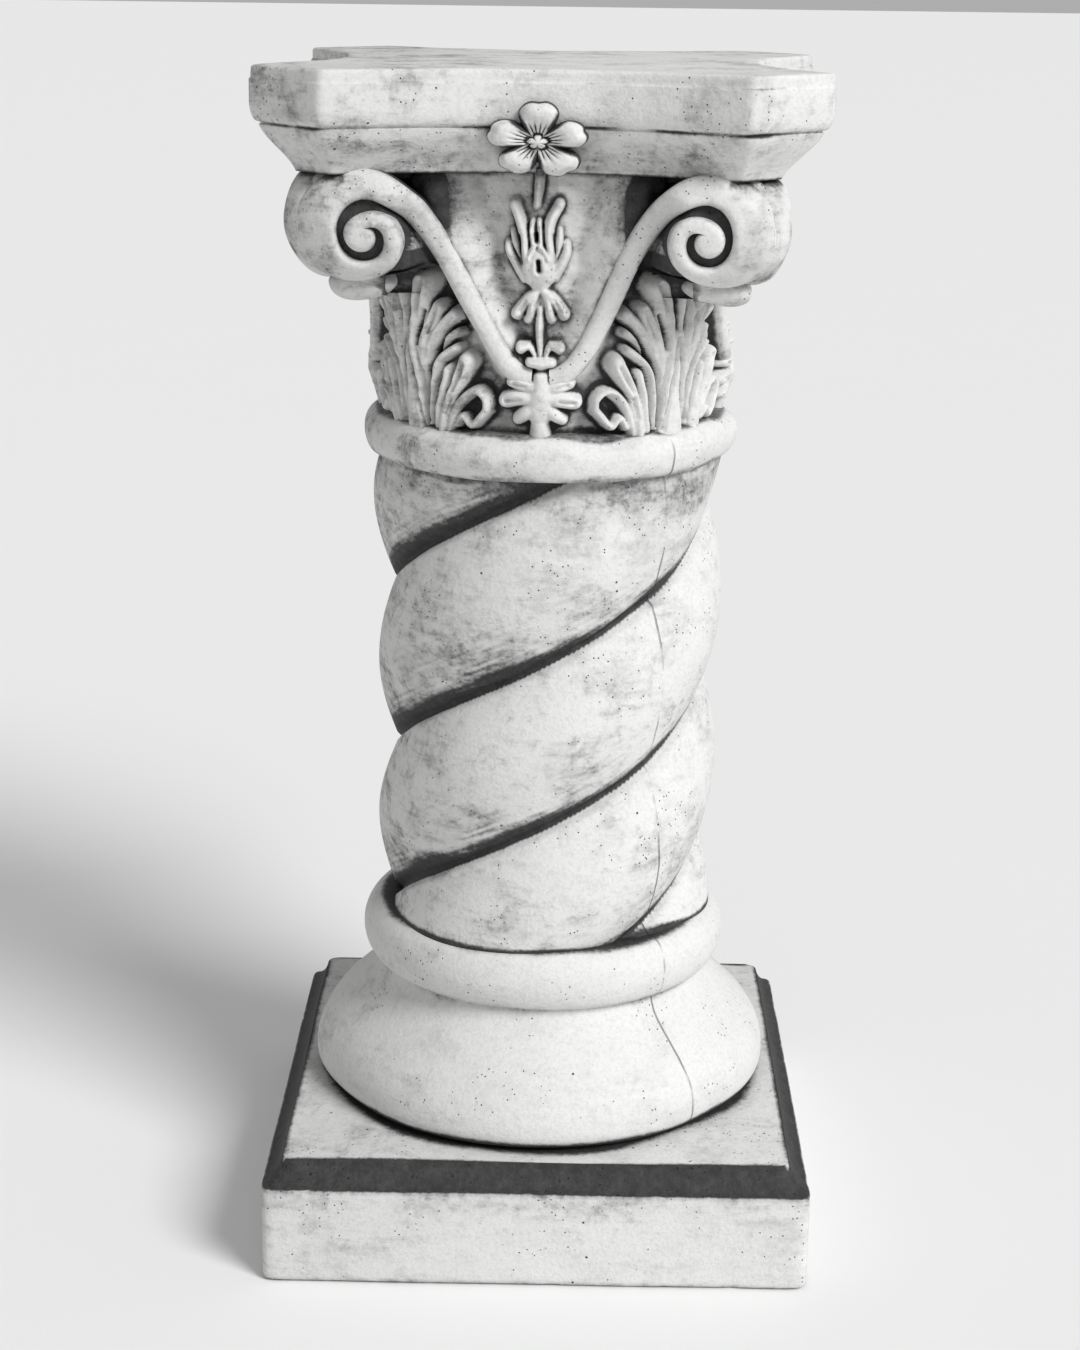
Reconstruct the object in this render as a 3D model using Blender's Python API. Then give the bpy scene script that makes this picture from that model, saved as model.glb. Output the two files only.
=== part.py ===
"""Twisted column cast in one piece: square plinth, turned base, screw shaft and carved capital.

Metres, +Z up, origin at the centre of the underside, front face toward -Y.
Every form is a closed loft of loops; one Boolean union makes the single stone body.
"""

import math

import bmesh
import bpy
import numpy as np
from mathutils import Matrix

# Plinth
PLINTH_WIDTH = 0.325
PLINTH_SIDE_HEIGHT = 0.060
PLINTH_BEVEL_HEIGHT = 0.0155
PLINTH_BEVEL_INSET = 0.0116

# Turned base: torus, hollow sweep and ring
TORUS_RADIUS = 0.142
TORUS_FOOT_RADIUS = 0.128
TORUS_LOW_HEIGHT = 0.0125
SWEEP_HEIGHT = 0.064
SWEEP_TOP_RADIUS = 0.1015
SWEEP_FULLNESS = 1.25
LOWER_RING_RADIUS = 0.1126
LOWER_RING_TOP_RADIUS = 0.0995
LOWER_RING_HEIGHT = 0.0365

# Screw shaft
SHAFT_LENGTH = 0.2855
SHAFT_LOBES = 3
SHAFT_LEAD = 0.3065
LOBE_RADIUS = 0.0833
LOBE_OFFSET = 0.0212
GROOVE_DEPTH = 0.003
GROOVE_HALF_WIDTH = 0.0055
GROOVE_LEFT_HEIGHT = 0.2886

# Neck ring and bell of the capital
UPPER_RING_RADIUS = 0.1111
UPPER_RING_FOOT_RADIUS = 0.1035
UPPER_RING_TOP_RADIUS = 0.0985
UPPER_RING_HEIGHT = 0.026
BELL_HEIGHT = 0.1445
BELL_FOOT_RADIUS = 0.089
BELL_TOP_RADIUS = 0.0945
HEAD_TURN = math.radians(-2.5)

# Abacus
ABACUS_HALF_WIDTH = 0.1575
ABACUS_CORNER_CUT = 0.0448
ABACUS_HOLLOW = 0.038
ABACUS_MOULDING_HEIGHT = 0.0255
ABACUS_MOULDING_INSET = 0.0205
ABACUS_GROOVE_INSET = 0.0035
ABACUS_GROOVE_DEPTH = 0.003
ABACUS_GROOVE_HALF_HEIGHT = 0.0018
ABACUS_PLATE_HEIGHT = 0.031
ABACUS_EDGE_ROUND = 0.002
ABACUS_ROLL_SHARE = 0.42

# Scrolls: a rib from the middle of each face that rolls up into a volute
RIB_FOOT_RISE = 0.0325
RIB_FOOT_OFFSET = 0.005
RIB_WRAP_RADIUS = 0.1065
RIB_HALF_WIDTH = 0.005
RIB_ROOT_DEPTH = 0.070
RIB_SWING = 2.5
RIB_FOOT_LEAN = 0.34
RIB_TOP_LEAN = 0.49
VOLUTE_CENTRE_OFFSET = 0.0925
VOLUTE_CENTRE_DROP = 0.031
VOLUTE_START_RADIUS = 0.0265
VOLUTE_END_RADIUS = 0.005
VOLUTE_TURNS = 1.25
VOLUTE_HALF_WIDTH = 0.0075
VOLUTE_CORNER_HALF_WIDTH = 0.0115
VOLUTE_END_HALF_WIDTH = 0.0045
VOLUTE_REACH = 0.1385
VOLUTE_ROLL_RADIUS = 0.044
VOLUTE_ROLL_RISE = 0.005
VOLUTE_CORNER_ROUND = 0.034
VOLUTE_CHANNEL_DEPTH = 0.0045
BLOCK_HALF_WIDTH = 0.022
BLOCK_DROP = 0.0352

# Corner leaves
LEAF_LIFT = 0.0195
LEAF_HALF_WIDTH = 0.022
LEAF_TOP_HALF_WIDTH = 0.012
LEAF_HEIGHT = 0.0935
LEAF_RIB_RELIEF = 0.0025
LOBE_COUNT = 5
LOBE_FIRST_ANGLE = math.radians(12)
LOBE_LAST_ANGLE = math.radians(72)
LOBE_FIRST_LENGTH = 0.082
LOBE_LAST_LENGTH = 0.048
LOBE_HALF_WIDTH = 0.0062
LOBE_LIFT = 0.0155
CREST_LENGTH = 0.092
CREST_OFFSET = 0.008
TONGUE_SET_OUT = 0.0082
TONGUE_DROP = 0.0615
TONGUE_HALF_SIZES = (0.021, 0.016, 0.0085)
BEAD_RADIUS = 0.0072
BEAD_DROP = 0.0052
BEAD_SET_BACK = 0.0055

# Flower and hanging bud at the middle of each face
FLOWER_HALF_WIDTH = 0.0295
FLOWER_HALF_HEIGHT = 0.0203
FLOWER_RISE = 0.0185
FLOWER_DEPTH = 0.0065
FLOWER_ROOT = 0.024
FLOWER_PETALS = 5
BUD_STEM_HALF_WIDTH = 0.0028
BUD_HALF_WIDTH = 0.0125
BUD_HALF_HEIGHT = 0.0175
BUD_DROP = 0.0475
BUD_LIFT = 0.0125
BUD_FLAME_SPREAD = 0.0165
BUD_FLAME_HALF_HEIGHT = 0.017
BUD_FLAME_RISE = 0.0135
BUD_FLAME_DEPTH = 0.35
CUP_HALF_WIDTH = 0.0125
CUP_HEIGHT = 0.0165
STALK_HALF_WIDTH = 0.0030
STALK_FOOT_HALF_WIDTH = 0.0075
BAND_HALF_WIDTH = 0.0072
BAND_HALF_HEIGHT = 0.0032
BAND_RISE = 0.0085
BAND_LIFT = 0.0185
SPRIG_SPREAD = 0.0215
SPRIG_HALF_HEIGHT = 0.0165
SPRIG_NOTCH = 0.45
SPRIG_RISE = 0.0195
SPRIG_LIFT = 0.0185

# How finely the forms are faceted
TURNED_SIDES = 32
RING_STEPS = 5
SHAFT_COLUMNS = 28
LOBE_ROWS = 7
HOLLOW_STEPS = 6
RIB_STEPS = 6
VOLUTE_STEPS_PER_TURN = 10
FACET_SHIFT = 0.37
FLAT_ANGLE = math.radians(5.5)
BURY = 0.004

STONE_COLOUR = (0.72, 0.72, 0.71, 1.0)
STONE_ROUGHNESS = 0.85

# Levels, stacked from the ground up
PLINTH_TOP = PLINTH_SIDE_HEIGHT + PLINTH_BEVEL_HEIGHT
TORUS_LEVEL = PLINTH_TOP + TORUS_LOW_HEIGHT
LOWER_RING_FOOT = TORUS_LEVEL + SWEEP_HEIGHT
SHAFT_FOOT = LOWER_RING_FOOT + LOWER_RING_HEIGHT
SHAFT_TOP = SHAFT_FOOT + SHAFT_LENGTH
BELL_FOOT = SHAFT_TOP + UPPER_RING_HEIGHT
BELL_TOP = BELL_FOOT + BELL_HEIGHT
ABACUS_GROOVE_LEVEL = BELL_TOP + ABACUS_MOULDING_HEIGHT
COLUMN_TOP = ABACUS_GROOVE_LEVEL + ABACUS_PLATE_HEIGHT
VOLUTE_LEVEL = BELL_TOP - VOLUTE_CENTRE_DROP
RIB_FOOT_LEVEL = BELL_FOOT + RIB_FOOT_RISE


def mix(a, b, t):
    """Value a fraction t of the way from a to b."""
    return a + (b - a) * t


def clear_scene():
    for obj in list(bpy.data.objects):
        bpy.data.objects.remove(obj, do_unlink=True)


def loft(rows):
    """Closed solid through loops of points: rows is an array (levels, points, 3)."""
    levels, points = rows.shape[:2]
    verts = rows.reshape(-1, 3)
    faces = []
    for i in range(levels - 1):
        for j in range(points):
            k = (j + 1) % points
            low, high = i * points, (i + 1) * points
            faces.append((low + j, low + k, high + k, high + j))
    faces.append(tuple(range(points - 1, -1, -1)))
    faces.append(tuple((levels - 1) * points + j for j in range(points)))
    return verts, faces


def circle_rows(radii, heights, sides):
    """Loops of a turned solid from its radii and heights."""
    angles = np.arange(sides) * 2 * math.pi / sides
    ring = np.stack([np.cos(angles), np.sin(angles)], axis=-1)
    rows = np.zeros((len(radii), sides, 3))
    rows[:, :, :2] = np.asarray(radii)[:, None, None] * ring[None]
    rows[:, :, 2] = np.asarray(heights)[:, None]
    return rows


def half_roll(foot_radius, reach, top_radius, low, high, steps):
    """Radii and heights of a half-round ring between two levels."""
    angles = np.linspace(-math.pi / 2, math.pi / 2, steps + 1)
    base = np.where(angles < 0, foot_radius, top_radius)
    radii = base + (reach - base) * np.cos(angles)
    heights = mix(low, high, (np.sin(angles) + 1) / 2)
    return list(radii), list(heights)


def plinth_rows():
    """Square block with a sloping bevel round its top."""
    half = PLINTH_WIDTH / 2
    levels = ((half, 0.0), (half, PLINTH_SIDE_HEIGHT), (half - PLINTH_BEVEL_INSET, PLINTH_TOP))
    corners = ((-1, -1), (1, -1), (1, 1), (-1, 1))
    return np.array([[(x * w, y * w, z) for x, y in corners] for w, z in levels])


def base_rows():
    """Torus, hollow sweep and lower ring, turned as one."""
    low = np.linspace(0.0, math.pi / 2, 4)
    radii = list(mix(TORUS_FOOT_RADIUS, TORUS_RADIUS, np.sin(low)))
    heights = list(TORUS_LEVEL - TORUS_LOW_HEIGHT * np.cos(low))
    sweep = np.linspace(0.0, 1.0, 7)[1:]
    radii += list(mix(TORUS_RADIUS, SWEEP_TOP_RADIUS, (1 - np.cos(math.pi * sweep ** SWEEP_FULLNESS)) / 2))
    heights += list(TORUS_LEVEL + SWEEP_HEIGHT * sweep)
    ring = half_roll(SWEEP_TOP_RADIUS, LOWER_RING_RADIUS, LOWER_RING_TOP_RADIUS,
                     LOWER_RING_FOOT, SHAFT_FOOT, RING_STEPS)
    radii = [TORUS_FOOT_RADIUS - BURY] + radii + ring[0][1:]
    heights = [PLINTH_TOP - BURY] + heights + ring[1][1:]
    return circle_rows(radii, heights, TURNED_SIDES)


def bell_radius(z):
    """Radius of the plain bell behind the carving."""
    t = np.clip((z - BELL_FOOT) / BELL_HEIGHT, 0.0, 1.0)
    return mix(BELL_FOOT_RADIUS, BELL_TOP_RADIUS, t * t)


def neck_rows():
    """Upper ring and the bell of the capital, turned as one."""
    radii, heights = half_roll(UPPER_RING_FOOT_RADIUS, UPPER_RING_RADIUS, UPPER_RING_TOP_RADIUS,
                               SHAFT_TOP, BELL_FOOT, RING_STEPS)
    levels = np.linspace(BELL_FOOT, BELL_TOP + BURY, 3)
    radii += list(bell_radius(levels))
    heights += list(levels)
    return circle_rows(radii, heights, TURNED_SIDES)


def shaft_radius(phi, z):
    """Distance of the shaft's surface from the axis: lobes that climb to the right."""
    pitch = 2 * math.pi / SHAFT_LOBES
    climb = 2 * math.pi * (z - GROOVE_LEFT_HEIGHT) / SHAFT_LEAD
    phase = np.mod(phi - math.pi - climb, pitch) - pitch / 2
    across = LOBE_OFFSET * np.sin(phase)
    radius = LOBE_OFFSET * np.cos(phase) + np.sqrt(LOBE_RADIUS ** 2 - across ** 2)
    from_groove = (pitch / 2 - np.abs(phase)) * SHAFT_LEAD / (2 * math.pi)
    cut = np.clip(1 - from_groove / GROOVE_HALF_WIDTH, 0.0, 1.0)
    return radius - GROOVE_DEPTH * cut


def shaft_solid():
    """Screw shaft: straight columns, rows along the screw, clipped level inside both rings."""
    spacing = SHAFT_LEAD / SHAFT_LOBES
    edge = GROOVE_HALF_WIDTH / spacing
    inner = np.linspace(edge, 1 - edge, LOBE_ROWS - 1)
    fractions = np.concatenate([[0.0], inner])
    low = (LOWER_RING_FOOT + SHAFT_FOOT) / 2
    high = (SHAFT_TOP + BELL_FOOT) / 2
    first = math.floor((low - SHAFT_LEAD - GROOVE_LEFT_HEIGHT) / spacing) - SHAFT_LOBES
    last = math.ceil((high - GROOVE_LEFT_HEIGHT) / spacing) + SHAFT_LOBES
    starts = [GROOVE_LEFT_HEIGHT + spacing * (k + f) for k in range(first, last) for f in fractions]
    turn = LOBE_ROWS * SHAFT_LOBES
    columns = SHAFT_COLUMNS
    phi = (np.arange(columns + 1) + FACET_SHIFT) * 2 * math.pi / columns
    z = np.array(starts)[None, :] + SHAFT_LEAD * (phi[:, None] - math.pi) / (2 * math.pi)
    z = np.clip(z, low, high)
    radius = shaft_radius(phi[:, None], z)
    verts = np.stack([radius * np.cos(phi)[:, None], radius * np.sin(phi)[:, None], z], axis=-1)
    rows = len(starts)
    faces = []
    for i in range(columns):
        shift = turn if i == columns - 1 else 0
        k = 0 if i == columns - 1 else i + 1
        for j in range(rows - 1):
            if j + shift + 1 < rows:
                faces.append((i * rows + j, k * rows + j + shift,
                              k * rows + j + shift + 1, i * rows + j + 1))
    return cap_clipped(verts[:columns].reshape(-1, 3), faces)


def cap_clipped(verts, faces):
    """Merge the clipped points and close the two level ends."""
    bm = bmesh.new()
    made = [bm.verts.new(v) for v in verts]
    for face in faces:
        bm.faces.new([made[i] for i in face])
    bmesh.ops.remove_doubles(bm, verts=bm.verts, dist=1e-6)
    loose = [v for v in bm.verts if not v.link_faces]
    bmesh.ops.delete(bm, geom=loose, context="VERTS")
    rim = [e for e in bm.edges if len(e.link_faces) == 1]
    bmesh.ops.holes_fill(bm, edges=rim, sides=0)
    bm.verts.index_update()
    points = np.array([v.co[:] for v in bm.verts])
    polygons = [tuple(v.index for v in f.verts) for f in bm.faces]
    bm.free()
    return points, polygons


def abacus_outline():
    """Plan of the abacus: four hollow sides between cut corners, anticlockwise."""
    reach = ABACUS_HALF_WIDTH
    half = reach - ABACUS_CORNER_CUT
    run = np.linspace(-half, half, HOLLOW_STEPS + 1)
    depth = reach - ABACUS_HOLLOW * (1 - (run / half) ** 2)
    side = np.stack([run, -depth], axis=-1)
    return np.concatenate([turned(side, k * math.pi / 2) for k in range(4)])


def turned(points, angle):
    """Points turned about the vertical axis."""
    result = np.array(points, dtype=float)
    c, s = math.cos(angle), math.sin(angle)
    result[..., 0] = points[..., 0] * c - points[..., 1] * s
    result[..., 1] = points[..., 0] * s + points[..., 1] * c
    return result


def inset_outline(outline, inset):
    """The plan moved inward by one distance all round, mitred at its corners."""
    edge = np.roll(outline, -1, axis=0) - outline
    edge /= np.linalg.norm(edge, axis=1)[:, None]
    normal = np.stack([-edge[:, 1], edge[:, 0]], axis=-1)
    before = np.roll(normal, 1, axis=0)
    bisector = normal + before
    bisector /= np.sum(bisector * normal, axis=1)[:, None]
    return outline + inset * bisector


def abacus_rows():
    """Sloping moulding, groove and rounded plate, swept round the plan."""
    outline = abacus_outline()
    slope = np.linspace(0.0, 1.0, 4)
    swell = (1 - np.cos(math.pi * slope)) / 2
    groove_low = ABACUS_GROOVE_LEVEL - ABACUS_GROOVE_HALF_HEIGHT
    groove_high = ABACUS_GROOVE_LEVEL + ABACUS_GROOVE_HALF_HEIGHT
    roll = np.linspace(0.0, math.pi / 2, 3)
    roll_top = mix(ABACUS_GROOVE_LEVEL, COLUMN_TOP, ABACUS_ROLL_SHARE)
    insets = list(mix(ABACUS_MOULDING_INSET, ABACUS_GROOVE_INSET, mix(slope, swell, 0.4)))
    heights = list(mix(BELL_TOP, groove_low, slope))
    insets.append(ABACUS_GROOVE_INSET + ABACUS_GROOVE_DEPTH)
    heights.append(ABACUS_GROOVE_LEVEL)
    insets += list(ABACUS_GROOVE_INSET * (1 - np.sin(roll))) + [0.0, ABACUS_EDGE_ROUND]
    heights += list(mix(groove_high, roll_top, 1 - np.cos(roll)))
    heights += [COLUMN_TOP - ABACUS_EDGE_ROUND, COLUMN_TOP]
    rows = np.zeros((len(insets), len(outline), 3))
    for i, (inset, height) in enumerate(zip(insets, heights)):
        rows[i, :, :2] = inset_outline(outline, inset)
        rows[i, :, 2] = height
    return rows


def on_bell(across, z, lift):
    """Point on the bell: across is measured round it from the middle of the front face."""
    across, z, lift = np.broadcast_arrays(across, z, lift)
    angle = across / BELL_FOOT_RADIUS
    radius = bell_radius(z) + lift
    return np.stack([radius * np.sin(angle), -radius * np.cos(angle), z], axis=-1)


def volute_depth(x, z):
    """Distance of the volute's front from the axis plane: a roll that turns the corner."""
    rise = np.clip(z - VOLUTE_LEVEL - VOLUTE_ROLL_RISE, -0.98 * VOLUTE_ROLL_RADIUS,
                   0.98 * VOLUTE_ROLL_RADIUS)
    depth = VOLUTE_REACH - VOLUTE_ROLL_RADIUS + np.sqrt(VOLUTE_ROLL_RADIUS ** 2 - rise ** 2)
    start = depth - VOLUTE_CORNER_ROUND
    past = np.clip(x - start, 0.0, 0.98 * VOLUTE_CORNER_ROUND)
    return start + np.sqrt(VOLUTE_CORNER_ROUND ** 2 - past ** 2)


def scroll_path(steps):
    """Rib and volute in the face plane: x, z, half width and depth along the scroll."""
    start = np.array([RIB_FOOT_OFFSET, RIB_FOOT_LEVEL])
    end = np.array([VOLUTE_CENTRE_OFFSET, VOLUTE_LEVEL + VOLUTE_START_RADIUS])
    lean = np.array([(end[0] - start[0]) * RIB_FOOT_LEAN, 0.0])
    back = np.array([(end[0] - start[0]) * RIB_TOP_LEAN, 0.0])
    t = np.linspace(0.0, 1.0, RIB_STEPS + 1)[:, None]
    rib = ((1 - t) ** 3 * start + 3 * (1 - t) ** 2 * t * (start + lean)
           + 3 * (1 - t) * t ** 2 * (end - back) + t ** 3 * end)
    s = np.linspace(0.0, 1.0, steps + 1)[1:]
    angle = 2 * math.pi * VOLUTE_TURNS * s
    radius = mix(VOLUTE_START_RADIUS, VOLUTE_END_RADIUS, s ** 1.2)
    x = np.concatenate([rib[:, 0], VOLUTE_CENTRE_OFFSET + radius * np.sin(angle)])
    z = np.concatenate([rib[:, 1], VOLUTE_LEVEL + radius * np.cos(angle)])
    corner = np.exp(-((angle - math.pi / 2) / 0.8) ** 2)
    coil = mix(VOLUTE_HALF_WIDTH, VOLUTE_END_HALF_WIDTH, s ** 0.5)
    coil = coil + (VOLUTE_CORNER_HALF_WIDTH - VOLUTE_HALF_WIDTH) * corner
    width = np.concatenate([mix(RIB_HALF_WIDTH, VOLUTE_HALF_WIDTH, t[:, 0] ** 2), coil])
    rise = (rib[:, 1] - start[1]) / (end[1] - start[1])
    wrapped = np.sqrt(np.maximum(RIB_WRAP_RADIUS ** 2 - rib[:, 0] ** 2, 0.0))
    rib_depth = mix(wrapped, float(volute_depth(end[0], end[1])), rise ** RIB_SWING)
    depth = np.concatenate([rib_depth, volute_depth(x[len(rib):], z[len(rib):])])
    root = np.full(len(x), RIB_ROOT_DEPTH)
    root[len(rib):] = depth[len(rib):] - 3 * VOLUTE_CHANNEL_DEPTH
    return x, z, width, depth, root


def scroll_rows(side):
    """One scroll as a ridge with rounded top; side is +1 to the right, -1 to the left.

    The left one has one step more, so two scrolls that meet at a corner cross cleanly.
    """
    steps = int(round(VOLUTE_TURNS * VOLUTE_STEPS_PER_TURN))
    steps += 1 if side < 0 else 0
    x, z, width, depth, root = scroll_path(steps)
    along = np.stack([np.gradient(x), np.gradient(z)], axis=-1)
    along /= np.linalg.norm(along, axis=1)[:, None]
    across = np.stack([along[:, 1], -along[:, 0]], axis=-1)
    profile = ((-1.0, None), (-0.62, 0.0), (0.62, 0.0), (1.0, None))
    rows = np.zeros((len(x), len(profile), 3))
    for j, (offset, drop) in enumerate(profile):
        px = x + offset * width * across[:, 0]
        pz = z + offset * width * across[:, 1]
        if drop is None:
            deep = root
        else:
            deep = np.minimum(depth, volute_depth(px, pz)) - drop * width
            deep = np.where(np.arange(len(x)) <= RIB_STEPS, depth - drop * width, deep)
        rows[:, j] = np.stack([side * px, -deep, pz], axis=-1)
    return rows


def block_rows():
    """Corner block behind two volutes, from under the leaf's tip up into the abacus."""
    levels = np.linspace(VOLUTE_LEVEL - BLOCK_DROP, BELL_TOP + BURY, 6)
    core = 0.7 * BELL_FOOT_RADIUS
    rows = []
    for level in levels:
        away = min(abs(level - VOLUTE_LEVEL), 0.99 * VOLUTE_ROLL_RADIUS)
        share = math.sqrt(1 - (away / VOLUTE_ROLL_RADIUS) ** 2)
        inner = VOLUTE_CENTRE_OFFSET - BLOCK_HALF_WIDTH * share
        near = float(volute_depth(inner, level)) - VOLUTE_CHANNEL_DEPTH
        turn = np.linspace(0.0, math.pi / 2, 4)
        bend = min(VOLUTE_CORNER_ROUND, 0.95 * (near - inner))
        centre = near - bend
        arc = [(centre + bend * math.sin(a), centre + bend * math.cos(a)) for a in turn]
        wall = min(inner, 0.98 * core)
        plan = [(0.5 * core, 0.5 * core), (wall, core), (inner, near)] + arc
        plan += [(near, inner), (core, wall)]
        rows.append([(px, -py, level) for px, py in plan])
    return np.array(rows)


def ball_rows(centre, sizes, angle, sides=8, levels=5):
    """Ellipsoid with small end caps; its first size lies along the plan angle."""
    tilt = np.linspace(-0.92, 0.92, levels) * math.pi / 2
    turn = np.arange(sides) * 2 * math.pi / sides
    radial = sizes[0] * np.cos(tilt)[:, None] * np.cos(turn)
    tangent = sizes[1] * np.cos(tilt)[:, None] * np.sin(turn)
    height = sizes[2] * np.sin(tilt)[:, None] * np.ones_like(turn)
    local = np.stack([radial, tangent, height], axis=-1)
    return turned(local, angle) + np.asarray(centre)


def leaf_rows():
    """Ribbed middle of the corner leaf, swelling outward toward its tip."""
    ribs = (None, 0.9, 0.8, 1.0, 0.8, 0.9, None)
    offsets = np.linspace(-1.0, 1.0, len(ribs))
    heights = np.linspace(BELL_FOOT - BURY, BELL_FOOT + LEAF_HEIGHT, 5)
    middle = BELL_FOOT_RADIUS * math.pi / 4
    rows = np.zeros((len(heights), len(ribs), 3))
    for i, z in enumerate(heights):
        t = i / (len(heights) - 1)
        half = mix(LEAF_HALF_WIDTH, LEAF_TOP_HALF_WIDTH, t)
        lift = LEAF_LIFT * (1 + 0.65 * t ** 4)
        for j, rib in enumerate(ribs):
            out = -BURY if rib is None else lift * rib ** (LEAF_RIB_RELIEF / LEAF_LIFT * 6)
            rows[i, j] = on_bell(middle + offsets[j] * half, z, out)
    return rows


def finger_rows(start, tip, widths, lifts, bow):
    """Rounded finger laid on the bell from start to tip, both as (across, height)."""
    start, tip = np.array(start), np.array(tip)
    t = np.linspace(0.0, 1.0, len(widths))
    run = tip - start
    normal = np.array([-run[1], run[0]]) / np.hypot(*run)
    path = start + run * t[:, None] + normal * (bow * np.sin(math.pi * t))[:, None]
    rows = np.zeros((len(widths), 4, 3))
    profile = ((-1.0, None), (-0.5, 1.0), (0.5, 1.0), (1.0, None))
    for i, (width, lift) in enumerate(zip(widths, lifts)):
        for j, (offset, top) in enumerate(profile):
            point = path[i] + normal * offset * width
            out = -BURY / 2 if top is None else lift * top
            rows[i, j] = on_bell(point[0], point[1], out)
    return rows


def fan_rows(side):
    """Fan of rounded lobes on one side of the corner leaf, ridged along each lobe."""
    middle = BELL_FOOT_RADIUS * math.pi / 4
    root = np.array([middle + side * 0.3 * LEAF_HALF_WIDTH, BELL_FOOT])
    outline, ridge = [], []
    for i in range(LOBE_COUNT):
        t = i / (LOBE_COUNT - 1)
        angle = mix(LOBE_FIRST_ANGLE, LOBE_LAST_ANGLE, t)
        length = mix(LOBE_FIRST_LENGTH, LOBE_LAST_LENGTH, t)
        step = (LOBE_LAST_ANGLE - LOBE_FIRST_ANGLE) / (LOBE_COUNT - 1)
        for turn, share, lift in ((-0.5, 0.74, 0.5), (-0.33, 0.97, 1.0), (0.30, 1.0, 1.0)):
            bearing = angle + turn * step
            outline.append((side * share * length * math.sin(bearing), share * length * math.cos(bearing)))
            ridge.append(lift)
    foot = LOBE_LAST_LENGTH * 0.55
    outline += [(side * foot, -BURY), (0.0, -BURY)]
    ridge += [0.6, 1.0]
    outline, ridge = np.array(outline), np.array(ridge)
    levels = ((1.0, None), (0.86, 0.9), (0.40, 1.1))
    rows = np.zeros((len(levels), len(outline), 3))
    for i, (share, top) in enumerate(levels):
        lift = -BURY / 2 if top is None else LOBE_LIFT * (top * mix(ridge, 1.0, 0.25))
        rows[i] = on_bell(root[0] + share * outline[:, 0], root[1] + share * outline[:, 1], lift)
    return rows


def crest_rows(side):
    """Tall lobe beside the leaf's middle, in front of the bell."""
    middle = BELL_FOOT_RADIUS * math.pi / 4
    tip = (middle + side * CREST_OFFSET, BELL_FOOT + CREST_LENGTH)
    foot = (middle + side * CREST_OFFSET, BELL_FOOT + 0.45 * CREST_LENGTH)
    widths = LOBE_HALF_WIDTH * np.array([0.9, 1.15, 0.8])
    lifts = LEAF_LIFT * np.array([0.9, 1.1, 1.2])
    return finger_rows(foot, tip, widths, lifts, 0.0)


def flower_rows():
    """Scalloped five-petal flower hung on the middle of the abacus."""
    depth = ABACUS_HALF_WIDTH - ABACUS_HOLLOW
    centre = BELL_TOP + FLOWER_RISE
    sides = FLOWER_PETALS * 3
    turn = np.arange(sides) * 2 * math.pi / sides
    scallop = 1 - 0.30 * (1 + np.cos(FLOWER_PETALS * turn)) / 2
    levels = ((1.0, -FLOWER_ROOT), (0.94, 0.85 * FLOWER_DEPTH), (0.30, 0.55 * FLOWER_DEPTH))
    rows = np.zeros((len(levels), sides, 3))
    for i, (share, out) in enumerate(levels):
        lobed = share * mix(1.0, scallop, 1.0 if share > 0.5 else 0.0)
        rows[i, :, 0] = FLOWER_HALF_WIDTH * lobed * np.sin(turn + math.pi / FLOWER_PETALS)
        rows[i, :, 2] = centre + FLOWER_HALF_HEIGHT * lobed * np.cos(turn + math.pi / FLOWER_PETALS)
        rows[i, :, 1] = -(depth + out)
    return rows


def boss_rows(z, half_width, half_height, lift, lobes, depth, sides):
    """Low boss on the middle line of the bell; its outline swells into a number of lobes."""
    turn = np.arange(sides) * 2 * math.pi / sides
    swell = 1 - depth * (1 - np.cos(lobes * turn)) / 2
    levels = ((1.0, -BURY / 2), (0.62, lift))
    rows = np.zeros((len(levels), sides, 3))
    for i, (share, out) in enumerate(levels):
        across = share * swell * half_width * np.sin(turn)
        rise = share * swell * half_height * np.cos(turn)
        rows[i] = on_bell(across, z + rise, out)
    return rows


def strip_rows(levels, half_widths, lifts):
    """Upright strip on the middle line of the bell, through given levels."""
    return finger_rows((0.0, levels[0]), (0.0, levels[1]), half_widths, lifts, 0.0)


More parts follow.
